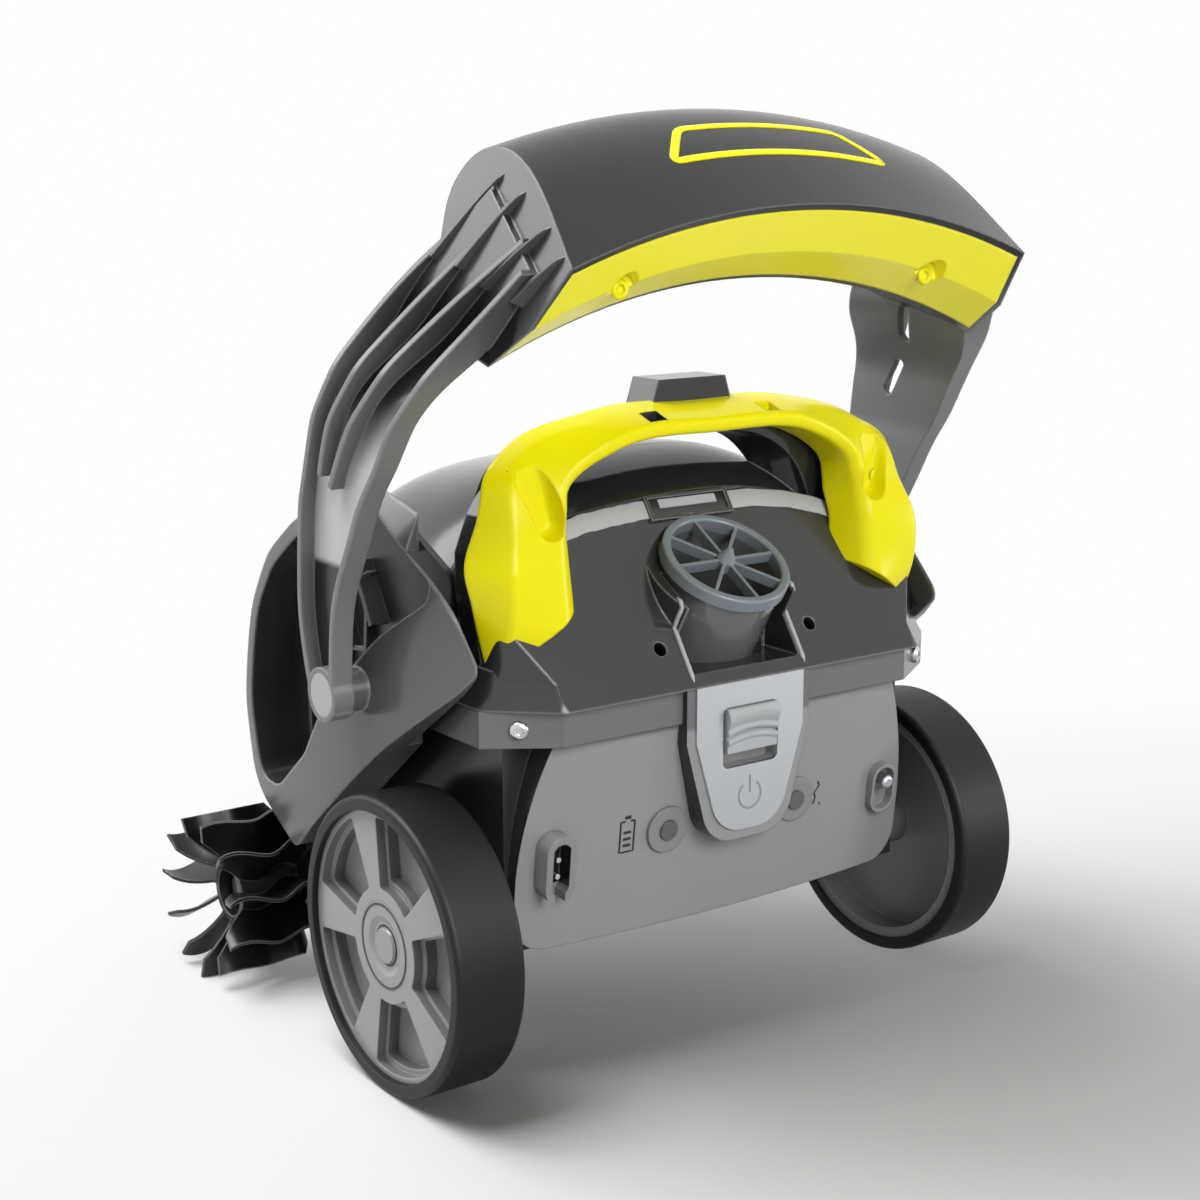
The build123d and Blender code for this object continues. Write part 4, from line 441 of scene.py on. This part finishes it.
REARWARD = Vector((0, -1, 0))
corner = Vector((0.5415, -0.8407, 0)).normalized()
screws("handle_screw_heads", "handle_screws", "chassis", [at(-99, -24, 246), at(99, -24, 246)], [REARWARD] * 2,
       yellow, SUNK_HEAD_HIGH)
screws("cap_screw_heads", "float_cap_screws", "float", [at(-82, -68.5, 341), at(82, -68.5, 341)], [REARWARD] * 2,
       yellow, SUNK_HEAD_HIGH)
screws("seam_screw_heads", "seam_screws", "chassis", [at(111.6, -39.95, 162), at(-111.6, -39.95, 162)],
       [corner, Vector((-corner.x, corner.y, 0))], steel, HEAD_HIGH)


def surface(node_name):
    """A node's own surface, for setting pieces down on it."""
    form = bmesh.new()
    form.from_mesh(nodes[node_name].data)
    tree = BVHTree.FromBMesh(form)
    form.free()
    return tree


def seat(tree, start, way):
    """Where a line first meets a surface, and the surface's direction there turned towards the start."""
    spot, facing = tree.ray_cast(start, way.normalized())[:2]
    if spot is None:
        return None
    if facing.dot(way) > 0:
        facing = -facing
    return spot, facing


def bead(name, path, radius, look, body, sides=10):
    """Round bead along a path, tapered off at both ends."""
    rings = len(path)
    verts = []
    for index, spot in enumerate(path):
        way = (path[min(index + 1, rings - 1)] - path[max(index - 1, 0)]).normalized()
        if index == 0:
            side = basis(way)[0]
        side = (side - way * side.dot(way)).normalized()
        up = way.cross(side)
        share = 0.15 if index in (0, rings - 1) else 1.0
        verts += [spot + (side * cos(2 * pi * step / sides) + up * sin(2 * pi * step / sides)) * radius * share
                  for step in range(sides)]
    faces = loop_faces(rings, sides)
    faces += [tuple(range(sides)), tuple(range(len(verts) - sides, len(verts)))]
    return piece(name, verts, faces, look, body, sharp=60)


def ribbon(name, middle, across, facing, width, proud, look, body, closed=False):
    """Flat strip with bevelled edges along a path that lies on a surface."""
    section = [(-0.5, -0.3), (-0.5, 0.6), (-0.42, 1.0), (0.42, 1.0), (0.5, 0.6), (0.5, -0.3)]
    verts = []
    for spot, side, up in zip(middle, across, facing):
        verts += [spot + side * (width * a) + up * (proud * b) for a, b in section]
    count, rings = len(section), len(middle)
    faces = loop_faces(rings, count)
    if closed:
        faces += [((rings - 1) * count + step, (rings - 1) * count + (step + 1) % count,
                   (step + 1) % count, step) for step in range(count)]
    else:
        faces += [tuple(range(count)), tuple(range((rings - 1) * count, rings * count))]
    return piece(name, verts, faces, look, body)


# Slider: domed lobe above, two curved finger ribs and a flat foot
SLIDER_HALF, SLIDER_HIGH, SLIDER_Z = 14.0, 10.0, 148.25
SLIDER_BACK, SLIDER_FLAT, SLIDER_FRONT = -47.0, -54.6, -57.9


def slider_face(x, z):
    """Depth of the slider's front at a place counted from its middle."""
    low = z - 2.2 * (1 - (x / SLIDER_HALF) ** 2) + 2.2
    lobe = 3.2 * max(0.0, 1 - ((low - 7.5) / 6.2) ** 2)
    ribs = sum(2.3 * max(0.0, 1 - ((low - place) / 1.9) ** 2) ** 0.6 for place in (1.2, -3.0))
    foot = 1.2 if low < -4.5 else 0.0
    return SLIDER_FLAT - max(lobe, ribs, foot) * 0.98


verts, faces = [], []
columns, rows = 29, 61
for row in range(rows):
    for column in range(columns):
        x = SLIDER_HALF * (2 * column / (columns - 1) - 1)
        z = SLIDER_HIGH * (2 * row / (rows - 1) - 1)
        verts.append(at(x, max(slider_face(x, z), SLIDER_FRONT), SLIDER_Z + z))
for row in range(rows - 1):
    for column in range(columns - 1):
        base = row * columns + column
        faces.append((base, base + 1, base + columns + 1, base + columns))
edge = list(range(columns))
edge += [row * columns + columns - 1 for row in range(1, rows)]
edge += [(rows - 1) * columns + column for column in range(columns - 2, -1, -1)]
edge += [row * columns for row in range(rows - 2, 0, -1)]
start = len(verts)
verts += [Vector((verts[index].x, at(0, SLIDER_BACK, 0).y, verts[index].z)) for index in edge]
count = len(edge)
faces += [(edge[step], edge[(step + 1) % count], start + (step + 1) % count, start + step) for step in range(count)]
faces.append(tuple(range(start, start + count)))
slider = piece("finger_slider", verts, faces, light_grey, "power_switch", sharp=50)
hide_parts("power_slider")

# Power sign on the switch plate
PLATE_FACE, SIGN_Z, SIGN_R, SIGN_GAP = -54.5, 117.5, 6.2, 38
SIGN_LINE, SIGN_PROUD = 0.0010, 0.00018
turns = [radians(90 + SIGN_GAP + (360 - 2 * SIGN_GAP) * step / 40) for step in range(41)]
middle = [at(SIGN_R * cos(turn), PLATE_FACE, SIGN_Z + SIGN_R * sin(turn)) for turn in turns]
across = [Vector((cos(turn), 0, sin(turn))) for turn in turns]
ribbon("power_sign_ring", middle, across, [REARWARD] * 41, SIGN_LINE, SIGN_PROUD, sign_grey, "chassis")
middle = [at(0, PLATE_FACE, SIGN_Z + 1.0 + step) for step in range(9)]
ribbon("power_sign_bar", middle, [Vector((1, 0, 0))] * 9, [REARWARD] * 9, SIGN_LINE, SIGN_PROUD, sign_grey, "chassis")

# Signs beside the two lights
panel = surface("lower_housing")


PRINT_PROUD = 0.00015


def panel_spot(x, z):
    """A place on the rear panel, found from behind."""
    return seat(panel, at(x, -120, z), -REARWARD)


def panel_line(name, points, width=0.0009):
    """Thin printed line on the rear panel through the given places."""
    middle, across, facing, spots = [], [], [], []
    for (x0, z0), (x1, z1) in zip(points, points[1:]):
        for step in range(4):
            spots.append((x0 + (x1 - x0) * step / 4, z0 + (z1 - z0) * step / 4))
    spots.append(points[-1])
    for index, (x, z) in enumerate(spots):
        spot, up = panel_spot(x, z)
        x0, z0 = spots[max(index - 1, 0)]
        x1, z1 = spots[min(index + 1, len(spots) - 1)]
        way = Vector((x1 - x0, 0, z1 - z0)).normalized()
        middle.append(spot)
        facing.append(up)
        across.append(way.cross(up).normalized())
    ribbon(name, middle, across, facing, width, PRINT_PROUD, ink_black, "chassis")


panel_line("battery_sign_case", [(-58.4, 112.6), (-60.6, 112.6), (-60.6, 98.4), (-53.6, 98.4), (-53.6, 112.6),
                                 (-55.8, 112.6)])
panel_line("battery_sign_tip", [(-58.6, 114.4), (-55.6, 114.4)], 0.0016)
for bar, z in enumerate((101.4, 104.4, 107.4)):
    panel_line(f"battery_sign_bar_{bar}", [(-59.0, z), (-55.2, z)], 0.0013)
panel_line("status_sign_wave", [(49.4, 99.8), (50.8, 103.2), (49.6, 105.0), (52.6, 108.6), (51.4, 110.6)])
panel_line("status_sign_mark", [(53.4, 99.2), (54.2, 99.2)], 0.0012)

# Label outline on top of the float
float_top = surface("float_shell")
LABEL = [(-38.0, -47.5), (46.0, -47.5), (61.0, -64.5), (-53.0, -64.5)]
LABEL_CORNER, LABEL_LINE, LABEL_PROUD = 4, 0.0038, 0.00040
outline = []
for index, (x, y) in enumerate(LABEL):
    x0, y0 = LABEL[index - 1]
    x1, y1 = LABEL[(index + 1) % 4]
    back = Vector((x0 - x, y0 - y)).normalized() * LABEL_CORNER
    ahead = Vector((x1 - x, y1 - y)).normalized() * LABEL_CORNER
    for step in range(5):
        share = step / 4
        outline.append(Vector((x, y)) + back * (1 - share) ** 2 + ahead * share ** 2)
    run = Vector((x1, y1)) - Vector((x, y)) - 2 * ahead
    for step in range(1, 30):
        outline.append(Vector((x, y)) + ahead + run * (step / 30))
middle, across, facing = [], [], []
for index, spot in enumerate(outline):
    found, up = seat(float_top, at(spot.x, spot.y, 460), Vector((0, 0, -1)))
    way = outline[(index + 1) % len(outline)] - outline[index - 1]
    side = Vector((way.x, way.y, 0)).cross(up).normalized()
    middle.append(found)
    facing.append(up)
    across.append(side)
ribbon("label_outline", middle, across, facing, LABEL_LINE, LABEL_PROUD, yellow, "float", closed=True)

# Handle cover with smooth creases, screw wells and windows. Each section: middle x and z, angle, and five corners as
# (distance along the angle, depth)
GRIP = [
    (0.0, 270.0, 90.0, ((18.0, -7.0), (15.5, -18.0), (11.0, -31.0), (5.0, -30.0), (3.0, -8.0))),
    (52.0, 269.0, 78.5, ((17.5, -7.0), (14.5, -18.0), (8.5, -31.0), (2.5, -30.0), (1.0, -8.0))),
    (74.0, 252.0, 42.0, ((32.5, -8.0), (27.5, -18.0), (10.0, -31.0), (5.5, -28.0), (2.0, -10.0))),
    (74.0, 246.0, 26.0, ((42.0, -14.0), (34.0, -25.0), (10.8, -33.0), (6.2, -29.5), (1.5, -11.5))),
    (74.0, 240.0, 10.0, ((44.0, -17.0), (34.0, -31.0), (11.5, -34.0), (7.0, -30.5), (1.0, -13.0))),
    (0.0, 230.0, 0.0, ((125.5, -19.8), (111.5, -37.5), (86.0, -36.5), (81.5, -33.0), (75.0, -17.0))),
    (0.0, 212.0, 0.0, ((123.0, -20.8), (112.5, -38.5), (86.5, -39.0), (81.5, -36.0), (73.0, -20.0))),
    (0.0, 180.0, 0.0, ((115.5, -21.0), (113.0, -25.5), (93.0, -48.0), (87.0, -47.0), (72.0, -34.0))),
]


GRIP_SOFT = 2.4            # reach of the rounding at the section's corners
GRIP_STEPS = 10            # rings from one section to the next
FOOT_TIP, FOOT_FACING = at(116.3, -21.1, 183.8), Vector((0.54, 0.057, 0.84))


def grip_corners(x, z, angle, corners):
    """Corners of one section of the handle."""
    turn = radians(angle)
    return [Vector((x + high * cos(turn), y, z + high * sin(turn))) for high, y in corners]


def softened(loop, reach):
    """Closed outline with each corner rounded off over a given reach."""
    cut = []
    for index, spot in enumerate(loop):
        before, after = loop[index - 1] - spot, loop[(index + 1) % len(loop)] - spot
        start = before.normalized() * min(reach, before.length * 0.4)
        end = after.normalized() * min(reach, after.length * 0.4)
        cut += [spot + start * (1 - share) ** 2 + end * share ** 2 for share in (0, 0.25, 0.5, 0.75, 1)]
    return cut


sections = [grip_corners(*section) for section in GRIP]
sections = [[Vector((-spot.x, spot.y, spot.z)) for spot in sections[1]]] + sections
sections.append([2 * last - before for last, before in zip(sections[-1], sections[-2])])
gaps = [sum((b - a).length for a, b in zip(first, second)) / 5 for first, second in zip(sections, sections[1:])]
rings = []
for index in range(1, len(sections) - 2):
    for step in range(GRIP_STEPS):
        share = step / GRIP_STEPS
        ring = []
        for corner_index in range(5):
            p0, p1, p2, p3 = [sections[index + shift][corner_index] for shift in (-1, 0, 1, 2)]
            g0, g1, g2 = gaps[index - 1], gaps[index], gaps[index + 1]
            m1 = ((p2 - p1) / g1 * g0 + (p1 - p0) / g0 * g1) / (g0 + g1) * g1
            m2 = ((p3 - p2) / g2 * g1 + (p2 - p1) / g1 * g2) / (g1 + g2) * g1
            ring.append(p1 * (2 * share ** 3 - 3 * share ** 2 + 1) + m1 * (share ** 3 - 2 * share ** 2 + share)
                        + p2 * (3 * share ** 2 - 2 * share ** 3) + m2 * (share ** 3 - share ** 2))
        rings.append(softened(ring, GRIP_SOFT))
rings.append(softened(sections[-2], GRIP_SOFT))
count = len(rings[0])
form = bmesh.new()
held = [[form.verts.new(at(spot.x, spot.y, spot.z)) for spot in ring] for ring in rings]
for first, second in zip(held, held[1:]):
    for step in range(count):
        form.faces.new((first[step], first[(step + 1) % count], second[(step + 1) % count], second[step]))
form.faces.new(held[-1])
sole = bmesh.ops.bisect_plane(form, geom=form.verts[:] + form.edges[:] + form.faces[:], plane_co=FOOT_TIP,
                              plane_no=FOOT_FACING.normalized(), clear_inner=True)
rim = [item for item in sole["geom_cut"] if isinstance(item, bmesh.types.BMEdge)]
bmesh.ops.holes_fill(form, edges=rim)
twin = bmesh.ops.duplicate(form, geom=form.verts[:] + form.edges[:] + form.faces[:])["geom"]
for vert in twin:
    if isinstance(vert, bmesh.types.BMVert):
        vert.co.x = -vert.co.x
bmesh.ops.remove_doubles(form, verts=form.verts, dist=1e-5)
bmesh.ops.recalc_face_normals(form, faces=form.faces)
mesh = bpy.data.meshes.new("handle_skin")
form.to_mesh(mesh)
form.free()
handle = bpy.data.objects.new("handle_skin", mesh)
bpy.context.collection.objects.link(handle)


def prism(rings):
    """Closed body through rings of equal count."""
    verts = [spot for ring in rings for spot in ring]
    count = len(rings[0])
    faces = loop_faces(len(rings), count)
    faces += [tuple(range(count)), tuple(range(len(verts) - count, len(verts)))]
    mesh = bpy.data.meshes.new("cutter")
    mesh.from_pydata([tuple(v) for v in verts], [], faces)
    form = bmesh.new()
    form.from_mesh(mesh)
    bmesh.ops.recalc_face_normals(form, faces=form.faces)
    form.to_mesh(mesh)
    form.free()
    made = bpy.data.objects.new("cutter", mesh)
    bpy.context.collection.objects.link(made)
    return made


def carve(target, cutters):
    """Take cutters out of a piece for good."""
    for cutter in cutters:
        step = target.modifiers.new("cut", "BOOLEAN")
        step.solver = "EXACT"
        step.object = cutter
    graph = bpy.context.evaluated_depsgraph_get()
    target.data = bpy.data.meshes.new_from_object(target.evaluated_get(graph))
    target.modifiers.clear()
    for cutter in cutters:
        bpy.data.objects.remove(cutter)


WELL_X, WELL_Z, WELL_HALF, WELL_LEAN = 92.5, 253.0, 9.0, 16
WELL_TOP_R, WELL_LOW_R, WELL_SHEAR = 7.8, 6.4, 0.10
WELL_RINGS = ((-24, 0.70), (-25, 0.86), (-27, 0.97), (-31, 1.06), (-38, 1.2), (-46, 1.4), (-70, 2.0))
WINDOW_X, WINDOW_Y, WINDOW_HALF_X, WINDOW_HALF_Y = 31.7, -24.5, 4.6, 4.2
WINDOW_LOW, WINDOW_TOP = 275, 310
HANDLE_SHARP = 38
cutters = []
for side in (-1, 1):
    lean = radians(90 - WELL_LEAN * side)
    way = Vector((cos(lean), sin(lean)))
    wells = []
    for y, swell in WELL_RINGS:
        ring = []
        for step in range(64):
            turn = 2 * pi * step / 64
            reach = Vector((cos(turn), sin(turn)))
            upper = reach.dot(way) >= 0
            reach = reach * (WELL_TOP_R if upper else WELL_LOW_R) * swell
            end = way * (WELL_HALF if upper else -WELL_HALF)
            deep = WELL_SHEAR * (WELL_HALF + (end + reach).dot(way))
            ring.append(at(side * WELL_X + end.x + reach.x, y + deep, WELL_Z + end.y + reach.y))
        wells.append(ring)
    cutters.append(prism(wells))
    cutters.append(prism([[at(side * WINDOW_X + a * WINDOW_HALF_X, WINDOW_Y + b * WINDOW_HALF_Y, z)
                           for a, b in ((-1, -1), (1, -1), (1, 1), (-1, 1))] for z in (WINDOW_LOW, WINDOW_TOP)]))
carve(handle, cutters)
handle.data.polygons.foreach_set("use_smooth", [True] * len(handle.data.polygons))
handle.data.set_sharp_from_angle(angle=radians(HANDLE_SHARP))
handle.data.materials.clear()
handle.data.materials.append(yellow)
handle.data.materials.append(dark_matte)
# The left window is painted dark inside, as painted shade
WINDOW_SLACK = 0.05
window = at(-WINDOW_X, WINDOW_Y, WINDOW_LOW)
for face in handle.data.polygons:
    spots = [(handle.data.vertices[index].co - window) * 1000 for index in face.vertices]
    if all(abs(spot.x) < WINDOW_HALF_X + WINDOW_SLACK and abs(spot.y) < WINDOW_HALF_Y + WINDOW_SLACK and spot.z > -0.1
           for spot in spots):
        face.material_index = 1
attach(handle, "chassis")
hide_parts("handle_cover")

# Pointed rib ends on the float's sides
SIDE_OUT, SIDE_LEVEL = Vector((-0.9632, 0, 0.2687)), 0.2100
TIPS = [(-112.2, -28.7, 379.4), (-114.0, -46.2, 372.8), (-117.6, -68.4, 360.0), (-120.5, -81.2, 349.5)]
ROOTS = [(-125.7, 0.4, 352.8), (-127.6, -21.7, 349.8), (-129.8, -43.1, 343.2), (-129.4, -63.5, 338.6)]


def side_level(x, y, z, level):
    """A place moved square to the float's side, to a level counted like the side's own."""
    spot = Vector((x, y, z)) / 1000
    return spot + SIDE_OUT * (level - spot.dot(SIDE_OUT))


def on_side(spot, side):
    """A point of the left side, or its twin on the right."""
    return Vector((spot.x * -side, spot.y + AXLE_Y, spot.z))


RIB_STEPS, RIB_PAST_TIP, RIB_SUNK = 12, 7, 0.004
step_way = (Vector(TIPS[3]) - Vector(TIPS[0])).normalized()
beyond = SIDE_OUT.cross(step_way).normalized()
for side, name in ((-1, "left"), (1, "right")):
    for index, (root, tip) in enumerate(zip(ROOTS, TIPS)):
        high = Vector(root).dot(SIDE_OUT) / 1000 + 0.0004
        way = (Vector(tip) - Vector(root)).normalized()
        verts = []
        for step in range(RIB_STEPS + 1):
            share = step / RIB_STEPS
            flat = Vector(root).lerp(Vector(tip) + beyond * RIB_PAST_TIP, share)
            aside = way.cross(SIDE_OUT).normalized() * (0.0016 * (1 - share) + 0.0003)
            crest = SIDE_LEVEL - 0.0002 + (high - SIDE_LEVEL) * (1 - share) ** 0.5
            low = side_level(*flat, SIDE_LEVEL - RIB_SUNK)
            top = side_level(*flat, crest)
            verts += [on_side(spot, side) for spot in (low - aside * 1.5, top - aside * 0.6, top + aside * 0.6,
                                                       low + aside * 1.5)]
        faces = loop_faces(RIB_STEPS + 1, 4) + [(0, 1, 2, 3), tuple(range(4 * RIB_STEPS, 4 * RIB_STEPS + 4))]
        piece(f"{name}_rib_point_{index}", verts, faces, arm_grey, "float", sharp=30)

# Rings on the hub caps (the dark rim and groove rings painted shade, the light ring a painted highlight) and ribs on
# the side liners
WHEEL_R, OUTSIDE_X, RING_STEPS, RING_PROUD = 65, 190, 72, 0.00025
CAP_RINGS = (("rim", 18.2, 0.0010, dark_matte), ("ring", 9.6, 0.0012, light_grey), ("groove", 8.2, 0.0008, dark_matte))
LINER_RIBS = ((66, 140, 58, 214), (84, 128, 80, 226), (100, 124, 100, 226), (116, 126, 120, 216), (62, 178, 122, 170))
LINER_STEPS, LINER_WIDE, LINER_PROUD = 24, 0.0024, 0.0042
for side, wheel in ((-1, "left_wheel"), (1, "right_wheel")):
    part = wheel.split("_")[0]
    cap = surface(f"{part}_hub_cap")
    inward = Vector((-side, 0, 0))
    for name, radius, width, look in CAP_RINGS:
        middle, across, facing = [], [], []
        for step in range(RING_STEPS):
            turn = 2 * pi * step / RING_STEPS
            spoke = Vector((0, cos(turn), sin(turn)))
            found = seat(cap, at(side * OUTSIDE_X, 0, WHEEL_R) + spoke * (radius / 1000), inward)
            if found:
                middle.append(found[0])
                across.append(spoke)
                facing.append(-inward)
        ribbon(f"{part}_cap_{name}", middle, across, facing, width, RING_PROUD, look, wheel, closed=True)
    liner = surface(f"{part}_side_liner")
    for index, (y0, z0, y1, z1) in enumerate(LINER_RIBS):
        spots = []
        for step in range(LINER_STEPS + 1):
            share = step / LINER_STEPS
            found = seat(liner, at(side * OUTSIDE_X, y0 + (y1 - y0) * share, z0 + (z1 - z0) * share), inward)
            if found:
                spots.append(found[0])
        if len(spots) > 4:
            way = (spots[-1] - spots[0]).normalized()
            ribbon(f"{part}_liner_rib_{index}", spots, [way.cross(-inward).normalized()] * len(spots),
                   [-inward] * len(spots), LINER_WIDE, LINER_PROUD, dark_gloss, "chassis")

# Latch band under the lid's rear edge, with the latch in the middle
deck = surface("rear_deck")
STEEP = 1.48               # rise of the deck for each step forward
SLOPE = Vector((0, -STEEP, 1)).normalized()
DOWN = Vector((0, -1, -STEEP)).normalized()
DECK_LOW_Y, DECK_LOW_Z = -55.3, 170
BAND_TOP_Z, BAND_DROP, BAND_WIDE, BAND_PROUD = 244.5, 4.6, 0.0088, 0.0007


def deck_spot(x, z):
    """A place on the sloping deck, found square to the slope."""
    y = DECK_LOW_Y + (z - DECK_LOW_Z) / STEEP
    return seat(deck, at(x, y, z) + SLOPE * 0.02, -SLOPE)


band_x = [-84 + 4 * step for step in range(43)]
middle = []
for x in band_x:
    top = BAND_TOP_Z
    while deck_spot(x, top) is None and top > 190:
        top -= 0.5
    middle.append(deck_spot(x, top - BAND_DROP)[0])
ribbon("latch_band", middle, [DOWN] * len(middle), [SLOPE] * len(middle), BAND_WIDE, BAND_PROUD, light_grey, "chassis")
for name, places, width, look, lift in (
        ("latch_frame_top", [(-23, 244.2), (23, 244.2)], 0.0016, dark_gloss, 0.0016),
        ("latch_frame_low", [(-23, 235.6), (23, 235.6)], 0.0022, dark_gloss, 0.0020),
        ("latch_frame_left", [(-22.2, 235.0), (-22.2, 244.6)], 0.0022, dark_gloss, 0.0018),
        ("latch_frame_right", [(22.2, 235.0), (22.2, 244.6)], 0.0022, dark_gloss, 0.0018),
        ("latch_well", [(-21, 240.0), (21, 240.0)], 0.0085, ink_black, 0.0009),
        ("latch_tongue", [(-16, 241.4), (16, 241.4)], 0.0046, light_grey, 0.0013)):
    (x0, z0), (x1, z1) = places
    spots = [deck_spot(x0 + (x1 - x0) * step / 6, z0 + (z1 - z0) * step / 6)[0] for step in range(7)]
    way = (spots[-1] - spots[0]).normalized()
    ribbon(name, spots, [way.cross(SLOPE).normalized()] * 7, [SLOPE] * 7, width, lift, look, "chassis")

# Beads along the channel that the jet lies in
CHANNEL_X, CHANNEL_LOW_Z, CHANNEL_RISE, CHANNEL_STEPS, BEAD_R = 31.2, 172.5, 30, 14, 0.0011
for side, name in ((-1, "channel_bead_left"), (1, "channel_bead_right")):
    path = []
    for step in range(CHANNEL_STEPS + 1):
        found = deck_spot(side * CHANNEL_X, CHANNEL_LOW_Z + CHANNEL_RISE * step / CHANNEL_STEPS)
        if found:
            path.append(found[0] + SLOPE * 0.0002)
    bead(name, path, BEAD_R, light_grey, "chassis")

# Floor, backdrop and light
FLOOR_HALF, FLOOR_GREY = 6, 0.62
FADE_AWAY = (0.65, 1.5)        # metres from the middle over which the floor turns white
FADE_DEPTH = (-0.25, 0.6)      # the same along FAR_WAY, a fixed direction from the photo's side to the far side
FAR_WAY = (0.584, 0.8115, 0)
floor_mesh = bpy.data.meshes.new("floor")
floor_mesh.from_pydata([(x * FLOOR_HALF, y * FLOOR_HALF, 0) for x, y in ((-1, -1), (1, -1), (1, 1), (-1, 1))], [],
                       [(0, 1, 2, 3)])
floor = bpy.data.objects.new("floor", floor_mesh)
floor.location.z = -0.0002
bpy.context.collection.objects.link(floor)
material, tree, shader = new_material("floor_white")
shader.inputs["Base Color"].default_value = (FLOOR_GREY, FLOOR_GREY, FLOOR_GREY, 1)
shader.inputs["Roughness"].default_value = 0.8
shader.inputs["Specular IOR Level"].default_value = 0.1
place = tree.nodes.new("ShaderNodeTexCoord")
away = tree.nodes.new("ShaderNodeVectorMath")
away.operation = "LENGTH"
tree.links.new(place.outputs["Object"], away.inputs[0])
depth = tree.nodes.new("ShaderNodeVectorMath")
depth.operation = "DOT_PRODUCT"
depth.inputs[1].default_value = FAR_WAY
tree.links.new(place.outputs["Object"], depth.inputs[0])
fade = maths(tree, "MAXIMUM", ramp(tree, away.outputs["Value"], *FADE_AWAY),
             ramp(tree, depth.outputs["Value"], *FADE_DEPTH))
glow = node(tree, "ShaderNodeEmission", Strength=1.0)
glow.inputs["Color"].default_value = (1, 1, 1, 1)


def mirrored_white(tree):
    """1 for the camera, reflections and see-through light, 0 for light that falls on things."""
    paths = tree.nodes.new("ShaderNodeLightPath")
    share = maths(tree, "MAXIMUM", paths.outputs["Is Camera Ray"], paths.outputs["Is Glossy Ray"])
    return maths(tree, "MAXIMUM", share, paths.outputs["Is Transmission Ray"])


seen = maths(tree, "MULTIPLY", mirrored_white(tree), fade)
mixed = tree.nodes.new("ShaderNodeMixShader")
tree.links.new(seen, mixed.inputs[0])
tree.links.new(shader.outputs["BSDF"], mixed.inputs[1])
tree.links.new(glow.outputs["Emission"], mixed.inputs[2])
tree.links.new(mixed.outputs["Shader"], tree.nodes["Material Output"].inputs["Surface"])
floor.data.materials.append(material)

WORLD_LOW, WORLD_HIGH, WORLD_STRENGTH = (0.20, 0.205, 0.215), (0.80, 0.81, 0.82), 0.30
world = bpy.data.worlds.new("studio")
world.use_nodes = True
scene.world = world
tree = world.node_tree
back = tree.nodes["Background"]
place = tree.nodes.new("ShaderNodeTexCoord")
spot = tree.nodes.new("ShaderNodeSeparateXYZ")
tree.links.new(place.outputs["Generated"], spot.inputs[0])
tree.links.new(blend(tree, ramp(tree, spot.outputs[2], -0.1, 0.9), WORLD_LOW, WORLD_HIGH), back.inputs["Color"])
back.inputs["Strength"].default_value = WORLD_STRENGTH
white = node(tree, "ShaderNodeBackground", Strength=1.0)
white.inputs["Color"].default_value = (1, 1, 1, 1)
mixed = tree.nodes.new("ShaderNodeMixShader")
tree.links.new(mirrored_white(tree), mixed.inputs[0])
tree.links.new(back.outputs["Background"], mixed.inputs[1])
tree.links.new(white.outputs["Background"], mixed.inputs[2])
tree.links.new(mixed.outputs["Shader"], tree.nodes["World Output"].inputs["Surface"])


def lamp(name, place, aim, size, power):
    """Rectangular lamp at a place, turned to an aim: metres and watts."""
    data = bpy.data.lights.new(name, "AREA")
    data.shape = "RECTANGLE"
    data.size, data.size_y = size
    data.energy = power
    made = bpy.data.objects.new(name, data)
    made.location = place
    made.rotation_euler = (Vector(aim) - Vector(place)).to_track_quat("-Z", "Y").to_euler()
    bpy.context.collection.objects.link(made)
    return made


lamp("key", (-0.72, 0.20, 1.85), (0, 0, 0.2), (1.1, 1.1), 37)
front = lamp("front", (-0.15, -1.85, 1.05), (0, 0, 0.2), (1.0, 1.0), 33)
right = lamp("right", (1.45, -1.0, 0.32), (0, 0, 0.15), (0.40, 0.6), 5)
lamp("top", (-0.45, 0.95, 1.8), (0, 0, 0.2), (1.2, 0.7), 17)
lamp("rear", (-0.9, 1.5, 1.1), (0, 0, 0.25), (1.0, 0.8), 8)

# The front and right lamps leave the floor out, so that the shadow under the body stays dark
unlit = bpy.data.collections.new("not_lit_by_low_lamps")
unlit.objects.link(floor)
front.light_linking.receiver_collection = unlit
right.light_linking.receiver_collection = unlit
unlit.collection_objects[0].light_linking.link_state = "EXCLUDE"
